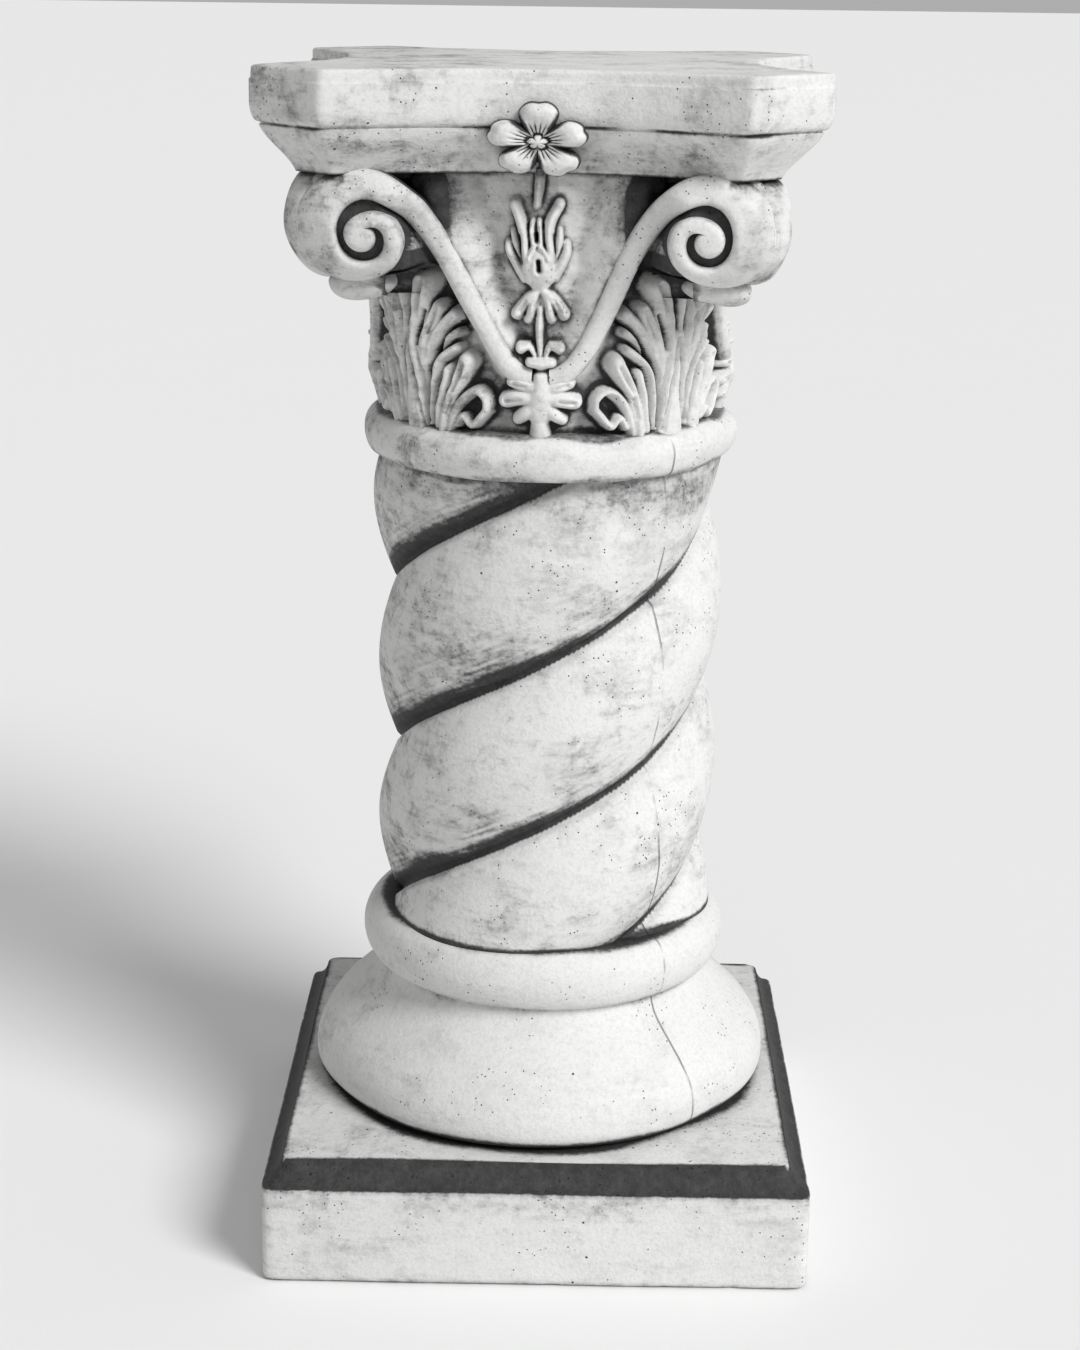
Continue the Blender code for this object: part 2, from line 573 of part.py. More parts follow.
def pendant_solids():
    """Bud, cup, stalk, band and sprig down the middle of one face."""
    bud = BELL_TOP - BUD_DROP
    cup_top = bud - 0.8 * BUD_HALF_HEIGHT
    cup_foot = bud - BUD_HALF_HEIGHT - CUP_HEIGHT
    band = RIB_FOOT_LEVEL + BAND_RISE
    sprig = BELL_FOOT + SPRIG_RISE
    rows = [boss_rows(bud, BUD_HALF_WIDTH, BUD_HALF_HEIGHT, BUD_LIFT, 0, 0.0, 8)]
    rows.append(boss_rows(bud + BUD_FLAME_RISE, BUD_FLAME_SPREAD, BUD_FLAME_HALF_HEIGHT,
                          0.7 * BUD_LIFT, 4, -BUD_FLAME_DEPTH, 8))
    rows.append(strip_rows((bud, BELL_TOP + BURY), [BUD_STEM_HALF_WIDTH] * 2, [0.45 * BUD_LIFT] * 2))
    cup = CUP_HALF_WIDTH * np.array([0.45, 0.85, 1.0])
    rows.append(strip_rows((cup_top, cup_foot), cup, BUD_LIFT * np.array([0.5, 0.8, 0.6])))
    rows.append(strip_rows((cup_foot + BURY, band), [STALK_HALF_WIDTH] * 2, [0.45 * BUD_LIFT] * 2))
    rows.append(boss_rows(band, BAND_HALF_WIDTH, BAND_HALF_HEIGHT, BAND_LIFT, 0, 0.0, 6))
    rows.append(boss_rows(sprig, SPRIG_SPREAD, SPRIG_HALF_HEIGHT, SPRIG_LIFT, 5, SPRIG_NOTCH, 15))
    foot = STALK_FOOT_HALF_WIDTH
    rows.append(strip_rows((sprig, BELL_FOOT - BURY), [foot, foot], [0.9 * SPRIG_LIFT] * 2))
    return [loft(levels) for levels in rows]


def on_diagonal(distance):
    """Share of a distance along the diagonal that falls on each plan axis."""
    return distance * math.sqrt(0.5)


def face_solids():
    """Carving of the front face."""
    solids = [loft(flower_rows())] + pendant_solids()
    solids += [loft(scroll_rows(1)), loft(scroll_rows(-1))]
    return solids


def corner_solids():
    """Carving of the front right corner.

    The tongue lies under the volutes, set out past their centres; the bead hangs from the abacus,
    set back behind the foot of its slope.
    """
    tongue = VOLUTE_CENTRE_OFFSET + on_diagonal(TONGUE_SET_OUT)
    bead_inset = ABACUS_MOULDING_INSET + BEAD_SET_BACK
    bead = ABACUS_HALF_WIDTH - ABACUS_CORNER_CUT / 2 - on_diagonal(bead_inset)
    diagonal = -math.pi / 4
    solids = [loft(block_rows()), loft(leaf_rows())]
    solids += [loft(rows) for side in (-1, 1) for rows in (fan_rows(side), crest_rows(side))]
    solids.append(loft(ball_rows((tongue, -tongue, BELL_TOP - TONGUE_DROP),
                                 TONGUE_HALF_SIZES, diagonal, sides=8, levels=4)))
    solids.append(loft(ball_rows((bead, -bead, BELL_TOP - BEAD_DROP), (BEAD_RADIUS,) * 3,
                                 diagonal, sides=6, levels=3)))
    return solids


def mesh_object(name, mesh):
    obj = bpy.data.objects.new(name, mesh)
    bpy.context.scene.collection.objects.link(obj)
    return obj


def solid_mesh(name, verts, faces):
    """Mesh of one closed solid, facing outward."""
    bm = bmesh.new()
    made = [bm.verts.new(v) for v in verts]
    for face in faces:
        bm.faces.new([made[i] for i in face])
    bmesh.ops.recalc_face_normals(bm, faces=bm.faces)
    bmesh.ops.triangulate(bm, faces=bm.faces)
    mesh = bpy.data.meshes.new(name)
    bm.to_mesh(mesh)
    bm.free()
    return mesh


def united(name, meshes):
    """Union of closed meshes, taken one after another."""
    whole = mesh_object(name, meshes[0])
    guides = [mesh_object("guide", mesh) for mesh in meshes[1:]]
    for guide in guides:
        guide.hide_render = True
        guide.display_type = "WIRE"
        union = whole.modifiers.new("union", "BOOLEAN")
        union.operation = "UNION"
        union.solver = "EXACT"
        union.object = guide
    graph = bpy.context.evaluated_depsgraph_get()
    mesh = bpy.data.meshes.new_from_object(whole.evaluated_get(graph))
    for obj in [whole] + guides:
        bpy.data.objects.remove(obj, do_unlink=True)
    tidy(mesh)
    return mesh


def turned_mesh(mesh, angle):
    """Copy of a mesh turned about the vertical axis."""
    copy = mesh.copy()
    copy.transform(Matrix.Rotation(angle, 4, "Z"))
    return copy


def head_meshes():
    """Abacus, and the carving of one face and one corner repeated four times."""
    face = united("face", [solid_mesh("carving", *solid) for solid in face_solids()])
    corner = united("corner", [solid_mesh("carving", *solid) for solid in corner_solids()])
    meshes = [solid_mesh("abacus", *loft(abacus_rows()))]
    for k in range(4):
        meshes += [turned_mesh(corner, k * math.pi / 2), turned_mesh(face, k * math.pi / 2)]
    return [turned_mesh(mesh, HEAD_TURN) for mesh in meshes]


def tidy(mesh):
    """Weld stray points, split flat polygons into triangles and shade the round forms smooth."""
    bm = bmesh.new()
    bm.from_mesh(mesh)
    bmesh.ops.remove_doubles(bm, verts=bm.verts, dist=1e-6)
    bmesh.ops.dissolve_limit(bm, angle_limit=FLAT_ANGLE, verts=bm.verts, edges=bm.edges)
    bmesh.ops.triangulate(bm, faces=bm.faces)
    bm.to_mesh(mesh)
    bm.free()
    mesh.shade_smooth()
    mesh.set_sharp_from_angle(angle=math.radians(40))


def stone_material():
    """Pale cast stone."""
    material = bpy.data.materials.new("cast_stone")
    material.use_nodes = True
    shader = material.node_tree.nodes["Principled BSDF"]
    shader.inputs["Base Color"].default_value = STONE_COLOUR
    shader.inputs["Roughness"].default_value = STONE_ROUGHNESS
    shader.inputs["Metallic"].default_value = 0.0
    return material


def main():
    clear_scene()
    trunk = [loft(plinth_rows()), loft(base_rows()), shaft_solid(), loft(neck_rows())]
    meshes = [solid_mesh("trunk", *solid) for solid in trunk] + head_meshes()
    column = mesh_object("column", united("column", meshes))
    tidy(column.data)
    column.data.materials.clear()
    column.data.materials.append(stone_material())


main()
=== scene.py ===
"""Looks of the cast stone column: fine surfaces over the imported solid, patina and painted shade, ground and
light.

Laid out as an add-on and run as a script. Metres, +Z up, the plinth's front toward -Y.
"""

import math
from functools import reduce

import bmesh
import bpy
import numpy as np
from mathutils import Matrix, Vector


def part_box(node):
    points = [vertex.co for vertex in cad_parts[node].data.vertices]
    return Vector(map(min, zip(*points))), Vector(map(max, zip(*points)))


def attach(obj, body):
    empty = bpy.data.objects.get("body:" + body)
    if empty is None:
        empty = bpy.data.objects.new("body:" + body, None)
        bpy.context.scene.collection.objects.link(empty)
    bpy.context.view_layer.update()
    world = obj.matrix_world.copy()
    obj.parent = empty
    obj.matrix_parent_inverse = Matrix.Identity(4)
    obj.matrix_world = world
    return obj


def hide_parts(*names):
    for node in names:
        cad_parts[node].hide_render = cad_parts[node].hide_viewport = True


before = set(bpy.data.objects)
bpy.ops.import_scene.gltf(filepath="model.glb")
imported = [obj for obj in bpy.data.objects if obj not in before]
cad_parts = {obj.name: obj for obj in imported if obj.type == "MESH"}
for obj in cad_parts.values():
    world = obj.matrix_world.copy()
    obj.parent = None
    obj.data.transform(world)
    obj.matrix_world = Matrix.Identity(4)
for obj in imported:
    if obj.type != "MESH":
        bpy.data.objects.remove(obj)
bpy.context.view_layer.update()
COLUMN_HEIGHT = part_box("column")[1][2]

bl_info = {
    "name": "Cast stone column",
    "version": (1, 0, 0),
    "blender": (4, 5, 0),
    "location": "View3D > Sidebar > Column",
    "description": "Builds the carved surfaces, patina and stage of a twisted cast stone column",
    "category": "Add Mesh",
}

MM = 0.001
WELD_DISTANCE = 2e-6
THIN_DISTANCE = 1e-7
SMOOTH_ANGLE = 60.0
CARVED_SMOOTH_ANGLE = 80.0
NOISE_WAVES = 18

# Slow sideways bow of the hand-made casting: heights and how far each lies toward +X
BOW_HEIGHTS = (0.078, 0.17, 0.33, 0.48, 0.55, 0.62, 0.70)
BOW_SHIFTS = (0.0, 0.0013, 0.0025, 0.0016, 0.0010, -0.0019, -0.0002)

# Plinth: share of hollow in its bevel, power of its square's corners, and its fineness
BEVEL_HOLLOW = 0.62
CORNER_POWER = 60
PLINTH_SIDE_STEPS = 84

# Chips in the sharp edges of plinth and abacus
CHIP_DEPTH = 0.0016

# Turned parts; the hidden radius and the sinkings lie inside the stone
HIDDEN_RADIUS = 0.06
SINK = 0.001
TORUS_LOW_HEIGHT = 0.0125
SWEEP_TOP_RADIUS = 0.1015
SWEEP_FULLNESS = 1.25
LOWER_RING_TOP_RADIUS = 0.0995
UPPER_RING_FOOT_RADIUS = 0.1035
UPPER_RING_TOP_RADIUS = 0.0985
BELL_FOOT_RADIUS = 0.089
BELL_TOP_RADIUS = 0.0945
BURY = 0.004
TURNED_STEPS = 300
SHAFT_COLUMNS = 400
SHAFT_ROWS = 200

# Screw shaft
SHAFT_LOBES = 3
LOBE_RADIUS = 0.0833
LOBE_OFFSET = 0.0212
GROOVE_LEFT_HEIGHT = 0.2886
SHAFT_BURY = 0.008

# Noise on the shaft and the bell is laid out on one radius
NOISE_RADIUS = 0.1

# Carving of the bell: radius of the arc on which it is laid out, and the fineness of its surfaces
CARVING_RADIUS = 0.105
STRAND_STEPS = 6
FIELD_STEP = 0.0004
FRONT_HALF_ANGLE = math.radians(97)
FRONT_STEP = 0.00076
BACK_STEP = 0.00100

# Abacus
ABACUS_CORNER_CUT = 0.0448
ABACUS_HOLLOW = 0.038
ABACUS_MOULDING_INSET = 0.0205
ABACUS_GROOVE_INSET = 0.0037
ABACUS_GROOVE_DEPTH = 0.0012
ABACUS_STEP_INSET = 0.0007
ABACUS_STEP_DROP = 0.0075
ABACUS_TOP_DROP = 0.0006
ABACUS_RIM_ROUND = 0.0022

# Flowers on the abacus; the lower half is a little shorter than the upper
PETALS = 5
FLOWER_COLUMNS = 160
FLOWER_HALF_WIDTH = 0.0288
FLOWER_HALF_HEIGHTS = (0.0196, 0.0212)
FLOWER_RISE = 0.0182
FLOWER_NOTCH_SHARE = 0.55

# Scrolls, their edges measured in millimetres from the centre of a volute at each quarter turn
OUTER_EDGE = (34.0, 38.5, 25.8, 21.5, 11.4, 9.4, 9.4, 7.2, 4.0)
INNER_EDGE = (18.4, 13.4, 14.6, 11.2, 1.5, 0.0, 0.0, 0.0, 0.0)
VOLUTE_ROLL_RADIUS = 0.044
VOLUTE_ROLL_RISE = 0.005
VOLUTE_CORNER_ROUND = 0.034
CHANNEL_DEPTH = 0.0075
BAND_ROUND = 0.0042
BAND_HOLLOW = 0.0012
WALL_DEPTH = 0.016
RIB_WALL_DEPTH = 0.014
EDGE_STEPS = 22
CORNER_TURN = math.radians(92)
CORNER_SPREAD = 0.62
COIL_CLOSING = (math.radians(282), math.radians(318))
COIL_HOLLOW_END = math.radians(300)
COIL_RADIUS = 0.0245
COIL_SIDE = 0.0745
BLOCK_BACK = 0.062
BLOCK_ARC = np.radians((40, -72))
BLOCK_ROWS = 64
RIB_FOOT_OFFSET = 0.005
RIB_FOOT_RISE = 0.0325
RIB_WRAP_RADIUS = 0.1072
RIB_HALF_WIDTH = 0.0056
RIB_END_HALF_WIDTH = 0.0078
RIB_SWING = 2.5
RIB_FOOT_LEAN = 0.34
RIB_TOP_LEAN = 0.49
RIB_STEPS = 60
TONGUE_SET_OUT = 0.0076
TONGUE_DROP = 0.0607
TONGUE_HALF_SIZES = (0.0212, 0.0158, 0.0092)
BEAD_RADIUS = 0.0060
BEAD_DROP = 0.0056
BEAD_SET_BACK = 0.0065

# Mould seam: its angle counted round the column from the middle of the front, and where it fades out
SEAM_ANGLE = math.radians(41.5)
SEAM_END = (0.498, 0.492)

# Kinds of stone: shift of the noise, strength of smudges with their painted side shade and of air holes, and
# whether the seam shows
STONES = {
    "plinth_stone": (0.0, 0.5, 1.0, False),
    "base_stone": (1.3, 0.35, 1.0, True),
    "shaft_stone": (2.1, 1.0, 1.0, True),
    "ring_stone": (1.1, 1.0, 1.0, True),
    "bell_stone": (0.7, 1.0, 0.8, False),
    "scroll_stone": (1.9, 0.8, 0.9, False),
    "abacus_stone": (0.4, 0.9, 1.0, False),
    "flower_stone": (2.6, 0.6, 0.6, False),
}

# Stage: ground, camera and light
FLOOR_HALF = 30.0
FLOOR_DROP = 0.0002
CAMERA_PLACE = (0.0114, -1.4603, 0.7651)
CAMERA_YAW = 0.0096
CAMERA_PITCH = 0.2892
CAMERA_ROLL = -0.0128
CAMERA_LENS = 65.72
CAMERA_SENSOR = 36.0
CAMERA_RANGE = (0.05, 200.0)
SUN_PLACE = (1.55, -1.5, 1.75)
SUN_STRENGTH = 2.7
SUN_SPREAD = math.radians(24)
SKY_STRENGTH = 0.42

# Carving of the bell, in millimetres: distance round the bell and height above its foot.
# Each strand has its path, half widths and lifts. Leaf strands start from the corner diagonal.
LEAF_STRANDS = (
    (((0, -3), (0, 30), (0, 62), (0, 96)), (7, 7, 6, 8), (16, 19, 21, 26)),
    (((4.5, -3), (5.0, 28), (6.5, 50), (10.8, 70), (13.2, 82.5)), (6, 6.2, 6.8, 8.0, 9.4),
     (16, 19, 21.5, 23, 22)),
    (((9, 34), (12.5, 50), (18, 61), (22.4, 69.6)), (4.8, 5.0, 4.9, 5.6), (17.5, 20, 20.5, 19)),
    (((10, 30), (16, 46), (24.5, 58.5), (33, 67.4)), (4.4, 5.0, 4.8, 4.9), (16, 18.5, 19, 17.5)),
    (((20.0, 44.5), (26, 52), (32.2, 56.6)), (1.6, 2.6, 3.2), (14, 16.5, 16)),
    (((12.2, 2), (14.6, 26), (18.6, 37), (25, 43), (31.2, 46.8)), (2.4, 2.5, 2.8, 3.3, 3.4),
     (15, 16.5, 17.5, 17.5, 16.5)),
    (((17, 1), (20.6, 20), (23.8, 30), (24.8, 34.6)), (3.4, 3.6, 3.8, 4.0), (14.5, 17, 17.5, 17)),
    (((21, -3), (26, 17), (32.5, 30), (37.8, 39.6)), (4.6, 5.2, 6.0, 6.6), (14.5, 17, 18.5, 17.5)),
    (((25.5, -3), (31, 13), (38, 21.5), (45, 23.5), (50.4, 19.5), (50.6, 13.5)),
     (3.4, 3.7, 4.0, 4.0, 3.7, 3.6), (13, 15.5, 16.5, 16.5, 16, 15)),
    (((50.6, 13.5), (46, 8.5), (40.5, 3.5), (35.5, 8.5), (31, 3)), (3.5, 3.3, 3.0, 3.0, 2.8),
     (15, 15, 14.5, 15, 14)),
)
LEAF_CUTS = (
    (((9.2, 60), (11.2, 73), (13.2, 83.5)), (1.5, 2.6, 2.9), (3, 4.4, 4.0)),
    (((8.2, 47.5), (9.8, 56), (13.8, 67)), (1.3, 1.9, 1.5), (7, 9, 7)),
    (((15.4, 54), (19.4, 63), (22.0, 69.6)), (1.3, 2.0, 1.7), (3.6, 4.4, 3)),
    (((17, 46), (25, 58.4), (31.5, 65.6)), (1.1, 1.9, 1.7), (2.6, 3.6, 2.6)),
    (((6.9, 0), (3.9, 24), (0.6, 54)), (1.1, 1.4, 1.0), (3.4, 4, 2.4)),
    (((9.4, 6), (8.2, 28), (7.6, 46)), (0.9, 1.2, 0.9), (2.2, 3.2, 2.0)),
    (((11.3, 3.7), (10.1, 16.7), (13, 33.2), (20.4, 46.7), (28, 57.4), (34.4, 62.6)),
     (1.4, 1.5, 1.6, 1.7, 1.7, 1.5), (6, 7, 8, 8, 7, 6)),
    (((29.0, 24), (33.3, 31.8), (36.9, 38.2)), (1.1, 2.0, 1.9), (3, 4.2, 3.2)),
    (((24.5, 8), (28.4, 20)), (0.9, 1.3), (2.4, 3.0)),
    (((38.5, 20.4), (43.5, 21.4), (47.2, 18.6)), (1.4, 2.0, 1.6), (3, 4, 3)),
    (((14.8, 8), (17.2, 24), (22.4, 38)), (0.9, 1.3, 1.2), (3, 5, 6)),
    (((1.9, 58), (3.2, 76), (4.4, 92)), (0.9, 1.4, 1.4), (3, 5, 6)),
)
# Strands of the hanging bud, curls and sprig start from the middle of a face.
PENDANT_STRANDS = (
    (((0, 150), (0, 136), (0, 127.0)), (3.0, 2.7, 2.2), (11, 11, 9.5)),
    (((4.6, 88), (7.4, 99), (7.0, 109), (8.4, 118), (12.6, 127.6)), (5.6, 4.9, 4.2, 3.6, 3.5),
     (14.5, 15, 14, 13.5, 12.5)),
    (((1.6, 103), (3.0, 110), (2.0, 119)), (2.2, 2.1, 1.5), (13.5, 12.5, 11)),
    (((9.0, 88), (13.8, 95), (17.2, 101), (18.0, 106.6)), (3.8, 3.6, 3.4, 2.6), (10.5, 11, 11, 9.5)),
    (((10.5, 100), (13.4, 108), (14.2, 114)), (2.8, 2.7, 2.0), (10, 10.5, 9)),
    (((0, 84), (0, 92), (0, 100)), (7.0, 10.6, 9.0), (13, 16.5, 15)),
    (((0, 106.4), (4.2, 103), (6.0, 97.5)), (1.5, 1.6, 1.4), (16.4, 17.4, 17.0)),
    (((1.6, 79.5), (6.6, 75.5), (13.6, 67.6)), (3.4, 4.2, 3.8), (12, 13.5, 12.5)),
    (((1.2, 79), (4.2, 71), (6.6, 65.0)), (3.0, 3.9, 3.2), (12, 14, 12)),
    (((0, 70), (0, 61)), (2.8, 2.6), (12.5, 12)),
    (((0, 63), (0, 43)), (2.6, 2.4), (12.5, 13.5)),
    (((2.6, 43.5), (5.0, 48.6)), (1.8, 2.4), (13.5, 15)),
    (((6.6, 50.0), (11.2, 48.8)), (2.6, 4.0), (15, 17)),
    (((0, 40.8), (6.2, 41.4)), (4.2, 3.6), (19.5, 18.5)),
    (((0, 34), (0, 22), (0, 13)), (6.5, 10.5, 9.0), (18.5, 20, 17.5)),
    (((3, 27), (10, 29.5), (16.4, 30.6)), (6.0, 5.8, 4.6), (18.5, 19, 17)),
    (((4, 22), (13, 21.5), (20.2, 19.6)), (6.0, 6.4, 5.4), (18.5, 18.5, 17)),
    (((3, 17), (9, 12.4), (13.0, 9.6)), (5.6, 5.2, 4.2), (17.5, 17, 15.5)),
    (((0, 14), (0, 4), (0, -4)), (7.2, 6.8, 9.0), (17, 15, 13)),
)
PENDANT_CUTS = (
    (((0, 92.2), (0, 97.0)), (2.1, 1.9), (8, 8)),
    (((0, 112), (0, 104.5)), (1.3, 0.9), (7, 4)),
    (((10.5, 20.6), (18.8, 19.6)), (1.1, 1.7), (2.4, 3.8)),
    (((8.5, 28.4), (14.6, 29.8)), (1.0, 1.5), (1.8, 2.8)),
    (((4.9, 117), (4.6, 108), (5.4, 101)), (1.1, 1.3, 0.9), (4.5, 5, 2.5)),
    (((9.8, 112), (10.4, 104), (9.8, 96)), (1.0, 1.3, 0.9), (4, 5, 3.5)),
    (((7.6, 75.2), (11.0, 69.4)), (0.9, 1.4), (2.5, 3.4)),
    (((0.0, 78.4), (2.2, 72.5), (2.4, 67)), (0.9, 1.3, 1.1), (2.4, 4, 3.5)),
    (((6.6, 72.6), (8.6, 67.4)), (0.9, 1.4), (3, 4.5)),
    (((0.0, 36.6), (7.2, 36.4)), (1.3, 1.0), (4.5, 3.5)),
)


def length(name, default, description):
    return bpy.props.FloatProperty(name=name, description=description, default=default, unit="LENGTH",
                                   precision=4)


def tint(name, default, description):
    return bpy.props.FloatVectorProperty(name=name, description=description, default=default,
                                         subtype="COLOR", size=3, min=0.0, max=1.0)


class ColumnSizes(bpy.types.PropertyGroup):
    """Sizes of the column that a user would change."""

    plinth_width: length("Plinth width", 0.325, "Width of the square plinth")
    plinth_side: length("Plinth side", 0.060, "Height of the plinth's upright side")
    bevel_height: length("Bevel height", 0.0155, "Height of the hollow bevel round the plinth")
    bevel_inset: length("Bevel inset", 0.0116, "How far the bevel draws in")
    torus_radius: length("Torus radius", 0.142, "Largest radius of the turned base")
    torus_foot: length("Torus foot", 0.128, "Radius where the turned base stands on the plinth")
    sweep_height: length("Sweep height", 0.064, "Height from the torus to the lower ring")
    lower_ring: length("Lower ring", 0.1126, "Radius of the ring below the shaft")
    lower_ring_height: length("Lower ring height", 0.0365, "Height of the ring below the shaft")
    shaft_length: length("Shaft length", 0.2855, "Height of the twisted shaft")
    shaft_lead: length("Shaft lead", 0.3065, "Climb of a lobe in one whole turn")
    groove_depth: length("Groove depth", 0.0034, "Depth of the cut between two lobes")
    upper_ring: length("Upper ring", 0.1111, "Radius of the ring under the capital")
    upper_ring_height: length("Upper ring height", 0.026, "Height of the ring under the capital")
    bell_height: length("Bell height", 0.1445, "Height of the carved capital under the abacus")
    abacus_half_width: length("Abacus half width", 0.1575, "From the axis to a side of the abacus")
    moulding_height: length("Moulding height", 0.0255, "Height of the sloping moulding")
    volute_offset: length("Volute offset", 0.0925, "From the middle of a face to a volute's centre")
    volute_drop: length("Volute drop", 0.031, "From the abacus down to a volute's centre")
    volute_reach: length("Volute reach", 0.1385, "From the axis plane to a volute's front")
    head_turn: bpy.props.FloatProperty(name="Head turn", default=math.radians(-2.5), subtype="ANGLE",
                                       description="Turn of the capital against the plinth")


class ColumnColours(bpy.types.PropertyGroup):
    """Colours of the stone, its patina and painted shade, and the stage."""

    stone: tint("Stone", (0.73, 0.73, 0.72), "Clean face of the cast stone")
    # grey of weathering smudges, also painted as shade on the left and back faces and as a thin film of
    # painted shade in recesses
    smudge_and_shade: tint("Smudge", (0.25, 0.25, 0.25), "Grey weathering on the faces")
    # dark of the patina, also painted as shade in recesses, creases and under overhangs
    patina_and_shade_colour: tint("Patina", (0.026, 0.026, 0.027), "Dark film in grooves and recesses")
    pit: tint("Pit", (0.010, 0.010, 0.010), "Inside of the small air holes")
    floor: tint("Floor", (0.86, 0.86, 0.86), "Pale ground")


class Levels:
    """Heights stacked from the ground up, worked out from the sizes."""

    def __init__(self, sizes):
        self.plinth_top = sizes.plinth_side + sizes.bevel_height
        self.torus = self.plinth_top + TORUS_LOW_HEIGHT
        self.ring_foot = self.torus + sizes.sweep_height
        self.shaft_foot = self.ring_foot + sizes.lower_ring_height
        self.shaft_top = self.shaft_foot + sizes.shaft_length
        self.bell_foot = self.shaft_top + sizes.upper_ring_height
        self.bell_top = self.bell_foot + sizes.bell_height
        self.groove = self.bell_top + sizes.moulding_height
        self.volute = self.bell_top - sizes.volute_drop
        self.rib_foot = self.bell_foot + RIB_FOOT_RISE
        self.top = COLUMN_HEIGHT


def mix(a, b, t):
    """Value a fraction t of the way from a to b."""
    return a + (b - a) * t


def ease(low, high, value):
    """Smooth step: 0 below low, 1 above high, 3t^2 - 2t^3 between."""
    t = np.clip((value - low) / (high - low), 0.0, 1.0)
    return t * t * (3 - 2 * t)


def hump(value, middle, width):
    """Rounded peak: exp(-((value - middle) / width)^2)."""
    return np.exp(-((value - middle) / width) ** 2)


def most(*fields):
    """Largest of several fields at each point."""
    return reduce(np.maximum, fields)


def grid_of(*coordinates):
    """Points from one array for each axis, spread over one common grid."""
    return np.ascontiguousarray(np.stack(np.broadcast_arrays(*coordinates), axis=-1))


def full_turn(count):
    """Angles evenly spaced over one whole turn."""
    return np.arange(count) * 2 * math.pi / count


def ripple(points, size, seed):
    """Smooth noise of about -1 to 1: a sum of sine waves of like length in seeded directions."""
    rng = np.random.default_rng(seed)
    ways = rng.normal(size=(NOISE_WAVES, points.shape[-1]))
    ways /= np.linalg.norm(ways, axis=1)[:, None]
    phases = rng.uniform(0, 2 * math.pi, NOISE_WAVES)
    lengths = size * rng.uniform(0.7, 1.4, NOISE_WAVES)
    total = np.zeros(points.shape[:-1])
    for way, phase, wave in zip(ways, phases, lengths):
        total += np.sin(points @ way * (2 * math.pi / wave) + phase)
    return total * math.sqrt(2 / NOISE_WAVES) * 0.7


def curve_through(knots, steps):
    """Catmull-Rom curve through rows of values: a cubic between neighbours, steps to a span."""
    knots = np.asarray(knots, dtype=float)
    ends = np.concatenate([[2 * knots[0] - knots[1]], knots, [2 * knots[-1] - knots[-2]]])
    t = np.linspace(0, len(knots) - 1, steps * (len(knots) - 1) + 1)
    span = np.minimum(t.astype(int), len(knots) - 2)
    f = (t - span)[:, None]
    a, b, c, d = (ends[span + k] for k in range(4))
    return 0.5 * (2 * b + (c - a) * f + (2 * a - 5 * b + 4 * c - d) * f ** 2
                  + (3 * b - a - 3 * c + d) * f ** 3)


def turned(points, angle):
    """Points turned about the vertical axis."""
    result = np.array(points, dtype=float)
    c, s = math.cos(angle), math.sin(angle)
    result[..., 0] = points[..., 0] * c - points[..., 1] * s
    result[..., 1] = points[..., 0] * s + points[..., 1] * c
    return result


def blurred(field, spread):
    """Gaussian blur by Fourier transform, with the field mirrored at all its edges."""
    tall = np.concatenate([field, field[::-1]])
    wide = np.concatenate([tall, tall[:, ::-1]], axis=1)
    f_rows = np.fft.fftfreq(wide.shape[0])[:, None]
    f_columns = np.fft.fftfreq(wide.shape[1])[None, :]
    kernel = np.exp(-2 * (math.pi * spread / FIELD_STEP) ** 2 * (f_rows ** 2 + f_columns ** 2))
    smooth = np.real(np.fft.ifft2(np.fft.fft2(wide) * kernel))
    return smooth[: field.shape[0], : field.shape[1]]


def sheet_quads(rows, columns, wrap, first):
    """Quads of a grid of points; with wrap the last column joins the first."""
    i = np.arange(rows - 1)
    j = np.arange(columns if wrap else columns - 1)
    i, j = (axis.ravel() for axis in np.meshgrid(i, j, indexing="ij"))
    k = (j + 1) % columns
    low, high = i * columns, (i + 1) * columns
    return np.stack([low + j, low + k, high + k, high + j], axis=-1) + first


def make_piece(name, sheets, material, crease=SMOOTH_ANGLE):
    """One object from grids of points; each sheet is (points, wrapped, mask), its mask from 0 to 1 of patina
    and painted shade.
    """
    points, quads, shade_and_patina, first = [], [], [], 0
    for grid, wrapped, local_shade_and_patina in sheets:
        rows, columns = grid.shape[:2]
        points.append(grid.reshape(-1, 3))
        quads.append(sheet_quads(rows, columns, wrapped, first))
        shade_and_patina.append(np.broadcast_to(local_shade_and_patina, (rows, columns)).ravel())
        first += rows * columns
    points, quads, shade_and_patina = np.concatenate(points), np.concatenate(quads), np.concatenate(shade_and_patina)
    points[:, 0] += np.interp(points[:, 2], BOW_HEIGHTS, BOW_SHIFTS)
    mesh = bpy.data.meshes.new(name)
    mesh.vertices.add(len(points))
    mesh.vertices.foreach_set("co", points.ravel())
    mesh.loops.add(quads.size)
    mesh.loops.foreach_set("vertex_index", quads.ravel())
    mesh.polygons.add(len(quads))
    mesh.polygons.foreach_set("loop_start", np.arange(0, quads.size, 4))
    mesh.update(calc_edges=True)
    # point attribute of patina together with painted shade in recesses, creases and under overhangs
    layer = mesh.attributes.new("shade_and_patina", "FLOAT", "POINT")
    layer.data.foreach_set("value", np.clip(shade_and_patina, 0.0, 1.0).astype(np.float32))
    weld_and_face_out(mesh)
    mesh.shade_smooth()
    mesh.set_sharp_from_angle(angle=math.radians(crease))
    mesh.materials.append(material)
    piece = bpy.data.objects.new(name, mesh)
    bpy.context.scene.collection.objects.link(piece)
    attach(piece, "root")
    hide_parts("column")


